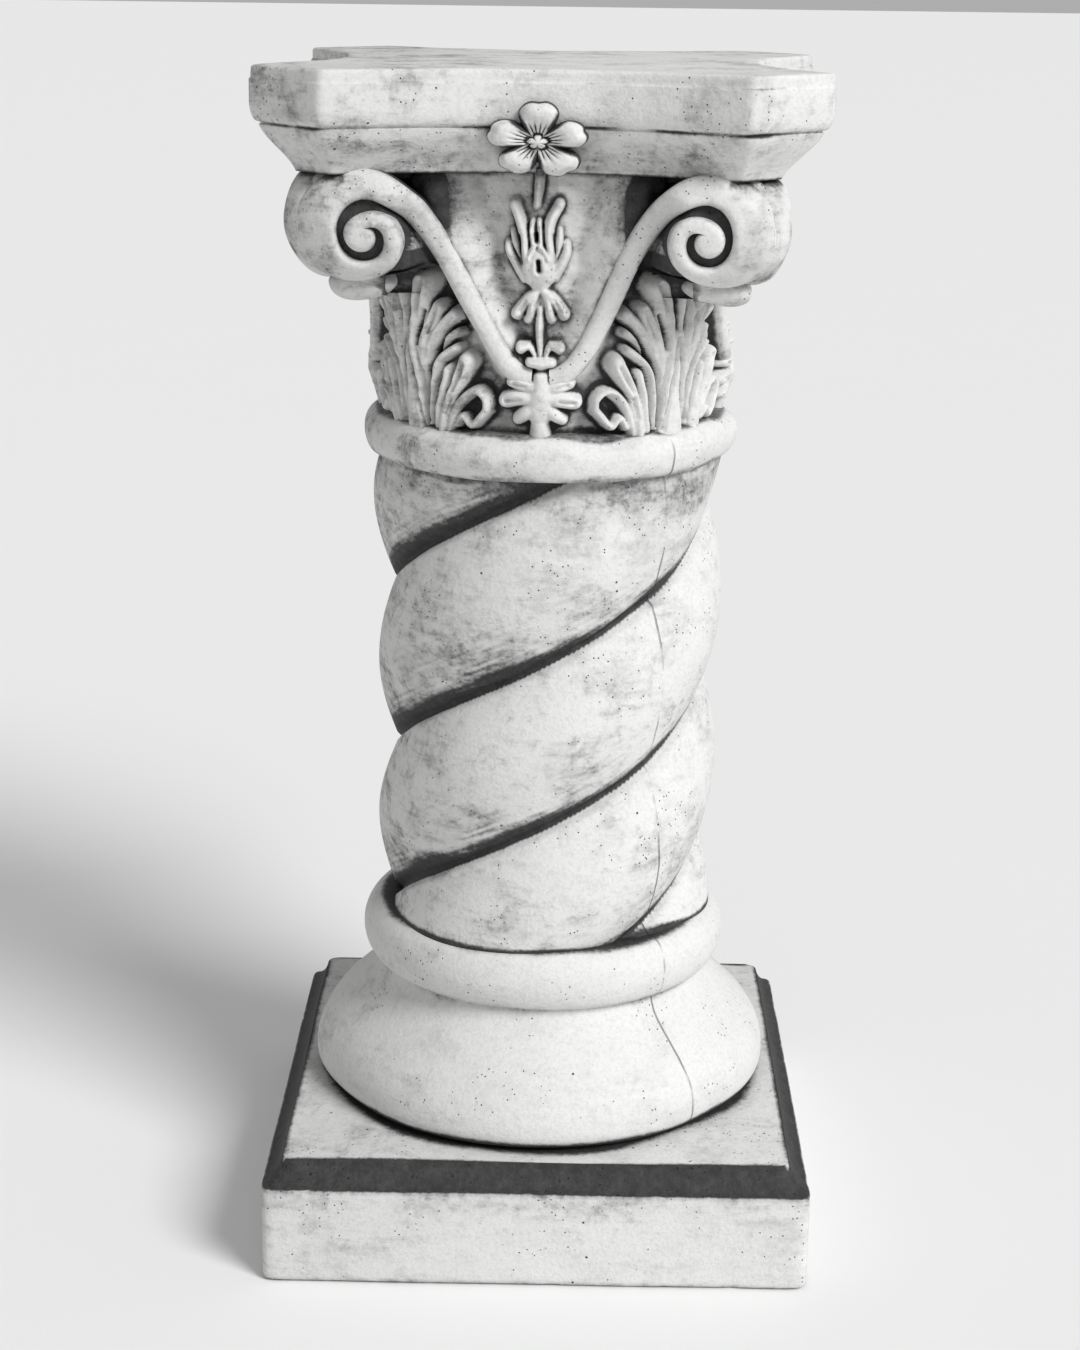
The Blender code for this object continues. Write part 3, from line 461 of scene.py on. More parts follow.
def weld_and_face_out(mesh):
    """Merge the points of seams and poles, drop faces without area, and turn the faces outward."""
    bm = bmesh.new()
    bm.from_mesh(mesh)
    bmesh.ops.remove_doubles(bm, verts=bm.verts, dist=WELD_DISTANCE)
    bmesh.ops.dissolve_degenerate(bm, edges=bm.edges, dist=THIN_DISTANCE)
    bmesh.ops.recalc_face_normals(bm, faces=bm.faces)
    bm.to_mesh(mesh)
    bm.free()


def closed(grid, shade_and_patina, wrapped=True):
    """Sheet of a grid and its mask of patina and painted shade, its first and last row drawn together to a
    point.
    """
    first, last = (np.broadcast_to(row.mean(axis=0), grid[:1].shape) for row in (grid[0], grid[-1]))
    return np.concatenate([first, grid, last]), wrapped, np.pad(shade_and_patina, ((1, 1), (0, 0)), mode="edge")


def turned_grid(radii, heights):
    """Surface of revolution: each row is a circle of its own radius and height."""
    angles = full_turn(TURNED_STEPS)
    return grid_of(radii[:, None] * np.cos(angles), radii[:, None] * np.sin(angles), heights[:, None])


def reach_of(grid):
    """Distance of each point from the column's axis."""
    return np.hypot(grid[..., 0], grid[..., 1])


def worn(grid, amount, size, seed):
    """Grid pushed in or out from the axis by smooth noise, as a hand-finished mould leaves it."""
    push = 1 + amount * ripple(grid, size, seed) / np.maximum(reach_of(grid), 0.02)
    result = grid.copy()
    result[..., :2] *= push[..., None]
    return result


def four_sides(side):
    """Points of one side repeated at each quarter turn."""
    return np.concatenate([turned(side, k * math.pi / 2) for k in range(4)])


def four_placed(sheets, sizes, amount, size, seed):
    """Sheets of the capital repeated at each quarter turn and worn where they stand."""
    return [(worn(turned(grid, k * math.pi / 2 + sizes.head_turn), amount, size, seed), wrapped, shade_and_patina)
            for k in range(4) for grid, wrapped, shade_and_patina in sheets]


def plinth_sheets(sizes, levels):
    """Square loops with rounded corners: half width and height follow the side and the hollow bevel.

    A loop's points run along a square and are drawn in by a superellipse of high power, so its corners
    are slightly round; the bevel is a quarter hollow mixed with a straight slope.
    """
    half = sizes.plinth_width / 2
    inset = half - sizes.bevel_inset
    side = np.linspace(0.0, 1.0, 22)
    t = np.linspace(0.0, 1.0, 12)[1:]
    draw_in = mix(t, np.sin(t * math.pi / 2), BEVEL_HOLLOW) * sizes.bevel_inset
    rise = mix(t, 1 - np.cos(t * math.pi / 2), BEVEL_HOLLOW) * sizes.bevel_height
    top = np.linspace(inset - 0.001, 0.08, 34)
    halves = np.concatenate([[0.10, half - 0.0026], np.full(len(side), half), half - draw_in, top])
    halves[2:4] -= np.array([0.0005, 0.0001])
    heights = np.concatenate([[0.0, 0.0], mix(0.0020, sizes.plinth_side, side), sizes.plinth_side + rise,
                              np.full(len(top), levels.plinth_top)])
    run = np.linspace(-1, 1, PLINTH_SIDE_STEPS, endpoint=False)
    square = four_sides(grid_of(run, -np.ones(len(run))))
    square *= ((np.abs(square) ** CORNER_POWER).sum(axis=1) ** (-1 / CORNER_POWER))[:, None]
    grid = grid_of(halves[:, None] * square[:, 0], halves[:, None] * square[:, 1], heights[:, None])
    z = grid[..., 2]
    outer = np.max(np.abs(grid[..., :2]), axis=-1)
    sides = ease(half - 0.02, half - 0.013, outer)
    push = (0.0003 * ripple(grid, 0.11, 3) - 0.0005) * sides
    chips = np.clip(ripple(grid, 0.014, 4) - 1.0, 0, 1) * CHIP_DEPTH
    near_ground = hump(z, 0.0, 0.0022)
    near_arris = hump(z, sizes.plinth_side, 0.0016) + near_ground
    grid[..., :2] *= (1 + (push - chips * near_arris * sides) / np.maximum(outer, 0.05))[..., None]
    flat = (outer < inset - 0.0005) & (z > levels.plinth_top - 1e-5)
    grid[..., 2] += np.where(flat, 0.0005 * ripple(grid, 0.09, 5) - 0.0004, 0.0)
    bevel = ease(sizes.plinth_side - 0.0006, sizes.plinth_side + 0.0008, z)
    bevel *= ease(inset - 0.0022, inset - 0.0002, outer)
    # painted shadow and patina: a dark ring on the plinth top round the foot of the torus
    past = reach_of(grid) - sizes.torus_foot - 0.0085 - 0.0018 * ripple(grid, 0.09, 6)
    foot_shadow_and_patina = ease(0.0075, -0.003, past) * (z > levels.plinth_top - 0.002)
    splash = (0.20 + 0.10 * ripple(grid, 0.08, 7)) * ease(0.030, 0.056, z) * sides
    return [closed(grid, most(bevel, foot_shadow_and_patina, 0.62 * near_ground, splash))]


def half_roll(foot, reach, top, low, high, steps):
    """Half-round ring: radius base + (reach - base) cos(a), height by sin(a), a from -90 to 90 degrees."""
    a = np.linspace(-math.pi / 2, math.pi / 2, steps + 1)
    base = np.where(a < 0, foot, top)
    return base + (reach - base) * np.cos(a), mix(low, high, (np.sin(a) + 1) / 2)


def base_sheets(sizes, levels):
    """Turned base: quarter-round foot, cosine sweep up to the neck, and a half-round ring."""
    low = np.linspace(0.0, math.pi / 2, 14)
    sweep = np.linspace(0.0, 1.0, 40)[1:]
    fall = (1 - np.cos(math.pi * sweep ** SWEEP_FULLNESS)) / 2
    ring_radii, ring_heights = half_roll(SWEEP_TOP_RADIUS, sizes.lower_ring, LOWER_RING_TOP_RADIUS,
                                         levels.ring_foot, levels.shaft_foot, 30)
    radii = np.concatenate([[HIDDEN_RADIUS, sizes.torus_foot - BURY],
                            mix(sizes.torus_foot, sizes.torus_radius, np.sin(low)),
                            mix(sizes.torus_radius, SWEEP_TOP_RADIUS, fall), ring_radii[1:], [0.085, 0.05]])
    heights = np.concatenate([[levels.plinth_top - BURY] * 2, levels.torus - TORUS_LOW_HEIGHT * np.cos(low),
                              levels.torus + sizes.sweep_height * sweep, ring_heights[1:],
                              [levels.shaft_foot - SINK] * 2])
    grid = worn(turned_grid(radii, heights), 0.0007, 0.10, 11)
    z = grid[..., 2]
    # painted shadow and patina under the torus at the plinth; painted shade in the crease under the lower
    # ring and on the ring's top round the shaft
    foot_shadow_and_patina = ease(levels.plinth_top + 0.0095, levels.plinth_top + 0.0040, z + 0.001 * ripple(grid, 0.07, 12))
    neck_shade = (0.38 + 0.12 * ripple(grid, 0.06, 13)) * hump(z, levels.ring_foot, 0.0040)
    seat_shade = ease(LOWER_RING_TOP_RADIUS + 0.0065, LOWER_RING_TOP_RADIUS - 0.001,
                reach_of(grid) + 0.0015 * ripple(grid, 0.05, 14))
    seat_shade *= z > levels.ring_foot + 0.6 * sizes.lower_ring_height
    return [closed(grid, np.maximum(foot_shadow_and_patina, neck_shade) + 0.9 * seat_shade)]


def upper_ring_sheets(sizes, levels):
    """Half-round ring under the capital, with patina and painted shade where the leaves stand on it and
    painted shade on its underside where the shaft ends.
    """
    radii, heights = half_roll(UPPER_RING_FOOT_RADIUS, sizes.upper_ring, UPPER_RING_TOP_RADIUS,
                               levels.shaft_top, levels.bell_foot, 32)
    radii = np.concatenate([[HIDDEN_RADIUS], radii, [HIDDEN_RADIUS]])
    heights = np.concatenate([[levels.shaft_top - SINK], heights, [levels.bell_foot - SINK]])
    grid = worn(turned_grid(radii, heights), 0.0009, 0.05, 35)
    grid[..., 2] += 0.0006 * ripple(grid, 0.07, 36)
    z = grid[..., 2]
    # patina and painted shade where the leaves stand on the ring; painted shade on its underside over the
    # shaft
    top = ease(0.1066, 0.1025, reach_of(grid) + 0.0012 * ripple(grid, 0.03, 37))
    top *= z > levels.bell_foot - 0.008
    ragged_z = z + 0.0015 * ripple(grid, 0.04, 38)
    underside_shade = 0.4 * ease(levels.shaft_top + 0.006, levels.shaft_top + 0.001, ragged_z)
    return [closed(grid, np.maximum(0.62 * top, underside_shade))]


def shaft_sheets(sizes, levels):
    """Screw shaft: radius d cos(p) + sqrt(R^2 - (d sin(p))^2) of the phase p in a climbing lobe.

    Rows run level and columns upright; a rounded cut follows the line between two lobes. The patina lies in
    the cut, ends sharply on the lobe below and drags upward on the lobe above; painted shade widens it and
    greys the lobes toward the left and near the cuts, and painted shade lies under the upper ring and where
    the shaft stands in the lower ring.
    """
    phi = full_turn(SHAFT_COLUMNS)
    z = np.linspace(levels.shaft_foot - SHAFT_BURY, levels.shaft_top + SHAFT_BURY, SHAFT_ROWS)[:, None]
    pitch = 2 * math.pi / SHAFT_LOBES
    place = grid_of(NOISE_RADIUS * np.cos(phi), NOISE_RADIUS * np.sin(phi), z)
    climb = 2 * math.pi * (z - GROOVE_LEFT_HEIGHT) / sizes.shaft_lead
    phase = np.mod(phi - math.pi - climb + 0.012 * ripple(place, 0.12, 21), pitch) - pitch / 2
    across = LOBE_OFFSET * np.sin(phase)
    radius = LOBE_OFFSET * np.cos(phase) + np.sqrt(LOBE_RADIUS ** 2 - across ** 2)
    above = (pitch / 2 - phase) * sizes.shaft_lead / (2 * math.pi)
    below = (pitch / 2 + phase) * sizes.shaft_lead / (2 * math.pi)
    gap = np.minimum(above, below)
    width = 0.0046 + 0.0010 * ripple(place, 0.05, 22)
    radius -= sizes.groove_depth * np.clip(1 - (gap / width) ** 2, 0, 1) ** 0.8
    grid = worn(grid_of(radius * np.cos(phi), radius * np.sin(phi), z), 0.0007, 0.09, 23)
    strokes = ripple(grid_of(0.05 * np.cos(phi), 0.05 * np.sin(phi), 6 * gap), 0.016, 24)
    # painted shade: the left side is darker, which widens the dark band in the cuts and thickens the haze
    left_shade = ease(0.075, -0.075, place[..., 0])
    breadth = 0.0026 + 0.0036 * left_shade + 0.0014 * ripple(place, 0.06, 25) + 0.0010 * strokes
    core = ease(0.0026, 0.0014, below)
    upward = ease(breadth + 0.0125, breadth - 0.0015, above)
    # painted shade mixed with grime: a smoky grey on the lobes near the cuts
    shade_and_grime_haze = (0.30 + 0.18 * ripple(place, 0.05, 26) + 0.10 * strokes) * (0.45 + 0.75 * left_shade)
    shade_and_grime_haze = shade_and_grime_haze * ease(0.066, 0.008, above)
    from_top = levels.shaft_top - z
    # painted shadow under the upper ring, darker in a wedge above the first cut
    shadow_wedge = ease(0.060, 0.004, above + 1.6 * from_top)
    ring_shadow = ease(0.0065, 0.001, from_top + 0.0030 * ripple(place, 0.045, 27)) * (0.42 + 0.5 * shadow_wedge)
    ring_shadow_haze = ease(0.045, 0.004, from_top) * (0.32 + 0.14 * ripple(place, 0.06, 28) + 0.45 * shadow_wedge)
    # painted shade where the shaft stands in the lower ring
    seat_shade = 0.9 * ease(0.0036, 0.0006, z - levels.shaft_foot + 0.0012 * ripple(place, 0.05, 29))
    return [closed(grid, most(core, upward, ring_shadow, seat_shade, shade_and_grime_haze, ring_shadow_haze))]


def strand_line(strand):
    """Smooth path of a strand in metres: rows of across, height, half width and lift."""
    path, widths, lifts = strand
    knots = np.column_stack([np.asarray(path, dtype=float), widths, lifts]) * MM
    return curve_through(knots, STRAND_STEPS) if len(knots) > 2 else knots


def strand_lift(across, height, line, power=2.6, root=0.55):
    """Lift of one rounded strand over the bell.

    Beside its path, at a distance d, the lift is its lift there times (1 - (d/w)^power)^root, w being
    the half width there; beyond w it is nought. Distances are to the path's straight steps.
    """
    result = np.zeros(across.shape)
    for (x0, y0, w0, l0), (x1, y1, w1, l1) in zip(line[:-1], line[1:]):
        run_x, run_y = x1 - x0, y1 - y0
        wide = max(w0, w1)
        near = (np.abs(across - (x0 + x1) / 2) < wide + abs(run_x)) & (
            np.abs(height - (y0 + y1) / 2) < wide + abs(run_y))
        px, py = across[near] - x0, height[near] - y0
        s = np.clip((px * run_x + py * run_y) / (run_x ** 2 + run_y ** 2), 0, 1)
        away = np.hypot(px - s * run_x, py - s * run_y) / mix(w0, w1, s)
        lift = mix(l0, l1, s) * np.clip(1 - away ** power, 0, 1) ** root
        result[near] = np.maximum(result[near], lift)
    return result


def bell_radius(height, bell_height):
    """Radius of the plain bell: it widens with the square of the height."""
    t = np.clip(height / bell_height, 0.0, 1.0)
    return mix(BELL_FOOT_RADIUS, BELL_TOP_RADIUS, t * t)


def roll_depth(x, z, sizes, levels):
    """Distance of a volute's front from the axis plane: a level roll that turns the corner.

    Depth = reach - R + sqrt(R^2 - (z - z0)^2), less the round of radius C past the start of the turn.
    """
    limit = 0.98 * VOLUTE_ROLL_RADIUS
    rise = np.clip(z - levels.volute - VOLUTE_ROLL_RISE, -limit, limit)
    depth = sizes.volute_reach - VOLUTE_ROLL_RADIUS + np.sqrt(VOLUTE_ROLL_RADIUS ** 2 - rise ** 2)
    start = depth - VOLUTE_CORNER_ROUND
    past = np.clip(x - start, 0.0, 0.98 * VOLUTE_CORNER_ROUND)
    return start + np.sqrt(VOLUTE_CORNER_ROUND ** 2 - past ** 2)


def rib_course(sizes, levels):
    """Middle line of a rib: a cubic Bezier curve in the face plane, then its depth and its rise.

    Near its foot the rib lies round the bell at one radius; with the power of its rise it swings out
    to the volute's front.
    """
    start = np.array([RIB_FOOT_OFFSET, levels.rib_foot])
    end = np.array([sizes.volute_offset, levels.volute + 0.5 * (OUTER_EDGE[0] + INNER_EDGE[0]) * MM])
    t = np.linspace(0, 1, RIB_STEPS)[:, None]
    lean = np.array([(end[0] - start[0]) * RIB_FOOT_LEAN, 0.0])
    back = np.array([(end[0] - start[0]) * RIB_TOP_LEAN, 0.0])
    rib = ((1 - t) ** 3 * start + 3 * (1 - t) ** 2 * t * (start + lean)
           + 3 * (1 - t) * t ** 2 * (end - back) + t ** 3 * end)
    rise = (rib[:, 1] - start[1]) / (end[1] - start[1])
    wrapped = np.sqrt(np.maximum(RIB_WRAP_RADIUS ** 2 - rib[:, 0] ** 2, 0.0))
    depth = mix(wrapped, float(roll_depth(end[0], end[1], sizes, levels)), rise ** RIB_SWING)
    half = mix(RIB_HALF_WIDTH, RIB_END_HALF_WIDTH, t[:, 0] ** 2)
    return rib, depth, rise, half


def carving_fields(sizes, levels):
    """Lift and mask of patina and painted shade of the carving from the middle of a face to a corner, on a
    fine grid.

    The ground swells toward the carving and the ribs as a blurred copy of them; over it stand the strands,
    less their cuts. The mask of patina and painted shade is how far the stone lies under its blurred
    surroundings, with more beside the ribs near the top, under the abacus and at the foot.
    """
    span = CARVING_RADIUS * math.pi / 4
    across = np.arange(0.0, span + FIELD_STEP, FIELD_STEP)
    height = np.arange(-BURY, sizes.bell_height + 2 * BURY, FIELD_STEP)
    across, height = np.meshgrid(across, height)
    corner = span - across
    strands = most(*(strand_lift(corner, height, strand_line(strand)) for strand in LEAF_STRANDS),
                   *(strand_lift(across, height, strand_line(strand)) for strand in PENDANT_STRANDS))
    cuts = most(*(strand_lift(corner, height, strand_line(cut), 2.0, 1.0) for cut in LEAF_CUTS),
                *(strand_lift(across, height, strand_line(cut), 2.0, 1.0) for cut in PENDANT_CUTS))
    rib, depth, _, half = rib_course(sizes, levels)
    round_bell = CARVING_RADIUS * np.arctan2(rib[:, 0], depth)
    rib_height = rib[:, 1] - levels.bell_foot
    rib_lift = np.hypot(rib[:, 0], depth) - bell_radius(rib_height, sizes.bell_height)
    swell_lift = np.minimum(rib_lift - 0.0050, 0.024)
    swell_line = np.column_stack([round_bell, rib_height, 0.011 + 0.5 * swell_lift, swell_lift])
    ridge_line = np.column_stack([round_bell, rib_height, half, rib_lift])
    swell = strand_lift(across, height, swell_line, 2.0, 2.0)
    ridge = strand_lift(across, height, ridge_line)
    ground = blurred(np.maximum(0.60 * blurred(strands, 0.0045), swell), 0.0014)
    lift = blurred(np.maximum(np.maximum(ground, strands) - cuts, 0.0), 0.00042)
    around = np.maximum(lift, ridge)
    # patina and painted shade in the recesses between the strands
    thin = np.clip((blurred(around, 0.0022) - lift) / 0.0024, 0, 1)
    wide = np.clip((blurred(around, 0.0060) - lift) / 0.0090, 0, 1)
    near_line = np.column_stack([round_bell, rib_height, np.full(len(half), 0.017), np.ones(len(half))])
    # patina and painted shade beside the ribs near the top
    rib_shade_and_patina = strand_lift(across, height, near_line, 1.0, 1.0) * ease(0.080, 0.135, height)
    # painted shade under the abacus and at the foot of the bell
    abacus_shade = ease(0.0045, 0.0, sizes.bell_height - height)
    foot = 0.8 * ease(0.0055, 0.0, height) * ease(0.013, 0.006, lift)
    shade_and_patina = most(0.80 * thin + 0.42 * wide, 1.15 * rib_shade_and_patina, 0.6 * abacus_shade, 0.9 * foot)
    return lift, np.clip(shade_and_patina, 0, 1)


def sampled(field, across, height):
    """Field read between its grid points by weights of the four around each place."""
    column = np.clip(across / FIELD_STEP, 0, field.shape[1] - 1.001)
    row = np.clip((height + BURY) / FIELD_STEP, 0, field.shape[0] - 1.001)
    c, r = column.astype(int), row.astype(int)
    fc, fr = column - c, row - r
    low = mix(field[r, c], field[r, c + 1], fc)
    high = mix(field[r + 1, c], field[r + 1, c + 1], fc)
    return mix(low, high, fr)


def bell_sheet(sizes, levels, fields, start, end, step):
    """Carved bell between two angles, as a radius over angle and height; its back is closed flat.

    The carving is folded about the middle of each face and each corner, and a slow wander of its
    place keeps the eight halves from being alike.
    """
    lift, shade_and_patina = fields
    columns = int((end - start) * CARVING_RADIUS / step)
    theta = np.linspace(start, end, columns)
    height = np.arange(-0.6 * BURY, sizes.bell_height + 0.8 * BURY, step)[:, None]
    place = grid_of(NOISE_RADIUS * np.sin(theta), -NOISE_RADIUS * np.cos(theta), height)
    fold = np.mod(theta + math.pi / 4, math.pi / 2) - math.pi / 4
    span = CARVING_RADIUS * math.pi / 4
    across = np.abs(fold * CARVING_RADIUS + 0.0008 * ripple(place, 0.038, 31))
    across = span - np.abs(span - across)
    rise = height + 0.0007 * ripple(place, 0.036, 33)
    relief = sampled(lift, across, rise) + 0.00035 * ripple(place, 0.009, 34)
    # patina and painted shade read from the carving's mask
    local_shade_and_patina = sampled(shade_and_patina, across, rise) * (1 + 0.25 * ripple(place, 0.03, 39))
    radius = bell_radius(height, sizes.bell_height) + relief
    grid = grid_of(radius * np.sin(theta), -radius * np.cos(theta), levels.bell_foot + height)
    grid, wrapped, local_shade_and_patina = closed(grid, local_shade_and_patina)
    return turned(grid, sizes.head_turn), wrapped, local_shade_and_patina


def scroll_sheet(sizes, levels, side):
    """Rounded band over the scroll's stations; side is +1 to the right and -1 to the left.

    The rib's edges lie a half width beside its course, the volute's edges are polar curves round its
    centre through the radii given for each quarter turn. Across the band the surface drops along a
    circle of the band's edge radius toward each edge, then walls run back into the stone.
    """
    rib, rib_depth, rise, half = rib_course(sizes, levels)
    along = np.gradient(rib, axis=0)
    along /= np.linalg.norm(along, axis=1)[:, None]
    beside = grid_of(-along[:, 1], along[:, 0]) * half[:, None]
    edges = curve_through(grid_of(OUTER_EDGE, INNER_EDGE) * MM, EDGE_STEPS)[1:]
    edges[:, 1] = np.maximum(edges[:, 1], 0.0002)
    coil = np.linspace(0, (len(OUTER_EDGE) - 1) * math.pi / 2, len(edges) + 1)[1:]
    way = grid_of(np.sin(coil), np.cos(coil))
    centre = np.array([sizes.volute_offset, levels.volute])
    outer = np.concatenate([rib + beside, centre + way * edges[:, :1]])
    inner = np.concatenate([rib - beside, centre + way * edges[:, 1:]])
    turn = np.concatenate([np.zeros(len(rib)), coil])[:, None]
    v = (1 - np.cos(np.linspace(0, math.pi, 17))) / 2
    face = outer[:, None] + (inner - outer)[:, None] * v[None, :, None]
    x, z = face[..., 0], face[..., 1]
    width = np.linalg.norm(inner - outer, axis=1)[:, None]
    own_depth = np.concatenate([rib_depth, np.zeros(len(coil))])[:, None]
    settle = np.concatenate([ease(0.86, 1.0, rise), np.ones(len(coil))])[:, None]
    depth = mix(own_depth, roll_depth(x, z, sizes, levels), settle)
    corner = hump(turn, CORNER_TURN, CORNER_SPREAD)
    closing = ease(*COIL_CLOSING, turn)
    from_outer, from_inner = v * width, (1 - v) * width
    drop = np.zeros(x.shape)
    for distance, radius in ((from_outer, BAND_ROUND * (1 - 0.96 * np.clip(corner * 1.3, 0, 1))),
                             (from_inner, BAND_ROUND * (1 - 0.98 * closing))):
        radius = np.minimum(radius, 0.5 * width)
        short = np.clip(radius - distance, 0, None)
        drop += radius - np.sqrt(np.maximum(radius ** 2 - short ** 2, 0))
    drop += BAND_HOLLOW * (2 * v - 1) ** 2 * (1 - corner) * (turn < COIL_HOLLOW_END)
    surface = grid_of(side * x, -(depth - drop), z)
    outer_back = depth[:, :1] - WALL_DEPTH
    root = np.where(turn > 0, outer_back, mix(depth[:, :1] - RIB_WALL_DEPTH, outer_back, settle))
    inner_root = np.where(turn > 0, depth[:, -1:] - WALL_DEPTH, root)
    walls = []
    for edge, back, steps in ((0, root, (1.0, 0.34)), (-1, inner_root, (0.34, 1.0))):
        front = surface[:, edge]
        for share in steps:
            wall = front.copy()
            wall[:, 1] = mix(front[:, 1], -back[:, 0], share)
            walls.append(wall)
    grid = np.concatenate([np.stack(walls[:2], axis=1), surface, np.stack(walls[2:], axis=1)], axis=1)
    # patina and painted shade: along the band's edges, under the abacus, on the outer part of the roll, and
    # on the walls running back into the channels
    near_edge = np.minimum(from_outer + 0.02 * corner, from_inner + 0.02 * closing)
    rim = 0.30 * ease(0.0020, 0.0, near_edge)
    abacus_shade = 0.75 * ease(0.006, 0.001, levels.bell_top - z) * (turn > 0.3)
    shade = (0.30 + 0.12 * ripple(surface, 0.02, 44)) * ease(0.095, 0.115, x)
    outer_wall = np.repeat(np.where(turn > 0, 0.35, 0.9), 2, axis=1)
    inner_wall = np.full(outer_wall.shape, 0.95)
    return closed(grid, np.concatenate([outer_wall, most(rim, abacus_shade, shade), inner_wall], axis=1))


def block_sheet(sizes, levels):
    """Stone behind two volutes and the web between each coil and its rib.

    Rows follow the roll's circle from top to bottom; a row runs from the rib along the straight front,
    set back by the channel's depth, round an arc and back on the other face, mirrored about the
    diagonal. Between rib and coil its depth eases from behind the rib to behind the coil.
    """
    rib, rib_depth = rib_course(sizes, levels)[:2]
    beta = np.linspace(*BLOCK_ARC, BLOCK_ROWS)
    z = levels.volute + VOLUTE_ROLL_RISE + VOLUTE_ROLL_RADIUS * np.sin(beta)
    depth = sizes.volute_reach - VOLUTE_ROLL_RADIUS * (1 - np.cos(beta)) - CHANNEL_DEPTH
    away = np.abs(z - levels.volute)
    coil_side = sizes.volute_offset - np.sqrt(np.maximum(0.0205 ** 2 - away ** 2, 0.008 ** 2))
    web = ease(levels.volute - COIL_RADIUS, levels.volute - 0.0170, z)
    inner = mix(coil_side, np.interp(z, rib[:, 1], rib[:, 0]), web)
    inner_depth = mix(depth, np.interp(z, rib[:, 1], rib_depth) - 0.0065, web)
    inner, inner_depth, depth = inner[:, None], inner_depth[:, None], depth[:, None]
    bend = np.clip(depth - inner - 0.0005, 0.001, VOLUTE_CORNER_ROUND - 0.5 * CHANNEL_DEPTH)
    run = np.linspace(0, 1, 34)
    arc = np.linspace(0, math.pi / 4, 20)[1:]
    straight_x = mix(inner, depth - bend, run)
    past_rib = inner + 0.0080
    behind_coil = ease(0, 1, (straight_x - past_rib) / np.maximum(COIL_SIDE - past_rib, 0.0060))
    wall = np.linspace(0.0, 1.0, 6)[:-1]
    x = np.concatenate([np.repeat(inner, len(wall), axis=1), straight_x, depth - bend + bend * np.sin(arc)],
                       axis=1)
    y = np.concatenate([mix(BLOCK_BACK, inner_depth, wall), mix(inner_depth, depth, behind_coil),
                        depth - bend + bend * np.cos(arc)], axis=1)
    z = z[:, None]
    grid = np.concatenate([grid_of(x, -y, z), grid_of(y, -x, z)[:, ::-1][:, 1:]], axis=1)
    # painted shade and patina darken the block in the channels and behind the coils; lit is a band of painted
    # light on it, and below the coil it pales outward
    from_eye = np.hypot(x - sizes.volute_offset, z - levels.volute)
    patchy = 0.7 + 0.3 * ripple(grid[:, : x.shape[1]], 0.012, 45)
    lit = 0.50 * ease(0.050, 0.060, x) * ease(0.080, 0.070, x) * patchy
    shade_and_patina = np.where(from_eye < COIL_RADIUS, 1.0, 0.92 - lit)
    outside = mix(0.90, 0.30, ease(0.080, 0.094, x))
    shade_and_patina = np.where((from_eye > COIL_RADIUS) & (z < levels.volute - 0.010), outside, shade_and_patina)
    return closed(grid, np.concatenate([shade_and_patina, shade_and_patina[:, ::-1][:, 1:]], axis=1), wrapped=False)


def ball_grid(centre, sizes, angle, rows, columns, seed):
    """Ellipsoid with its first size along a plan angle, roughened by slow noise."""
    tilt = np.linspace(-math.pi / 2, math.pi / 2, rows)[:, None]
    turn = full_turn(columns)
    shape = grid_of(np.cos(tilt) * np.cos(turn), np.cos(tilt) * np.sin(turn), np.sin(tilt))
    shape *= (1 + 0.05 * ripple(shape, 1.2, seed))[..., None]
    return turned(shape * np.asarray(sizes), angle) + np.asarray(centre)


def corner_sheets(sizes, levels):
    """Volutes, the block behind them, the curled leaf tip below and the bead above, at four corners."""
    diagonal = -math.pi / 4
    share = math.sqrt(0.5)
    tip_place = sizes.volute_offset + TONGUE_SET_OUT * share
    bead_place = (sizes.abacus_half_width - ABACUS_CORNER_CUT / 2
                  - (ABACUS_MOULDING_INSET + BEAD_SET_BACK) * share)
    tip = ball_grid((tip_place, -tip_place, levels.bell_top - TONGUE_DROP), TONGUE_HALF_SIZES, diagonal,
                    26, 40, 41)
    # painted shade: a dark line across the leaf tip where it meets the volute, over a light wash of patina;
    # the bead is washed with patina
    crease = hump(tip[..., 2] - levels.bell_top + TONGUE_DROP, 0.0068, 0.0018)
    bead = ball_grid((bead_place, -bead_place, levels.bell_top - BEAD_DROP), (BEAD_RADIUS,) * 3, diagonal,
                     14, 22, 42)
    sheets = (block_sheet(sizes, levels), (tip, True, 0.75 * crease + 0.16), (bead, True, 0.25),
              scroll_sheet(sizes, levels, 1), scroll_sheet(sizes, levels, -1))
    return four_placed(sheets, sizes, 0.0004, 0.035, 43)


def abacus_outline(sizes):
    """Plan of the abacus: four hollow parabolic sides between cut corners."""
    reach = sizes.abacus_half_width
    half = reach - ABACUS_CORNER_CUT
    run = np.linspace(-half, half, 9)
    return four_sides(grid_of(run, -(reach - ABACUS_HOLLOW * (1 - (run / half) ** 2))))


def inset_outline(outline, inset):
    """The plan moved inward by one distance all round, mitred at its corners."""
    edge = np.roll(outline, -1, axis=0) - outline
    edge /= np.linalg.norm(edge, axis=1)[:, None]
    normal = grid_of(-edge[:, 1], edge[:, 0])
    bisector = normal + np.roll(normal, 1, axis=0)
    bisector /= np.sum(bisector * normal, axis=1)[:, None]
    return outline + inset * bisector


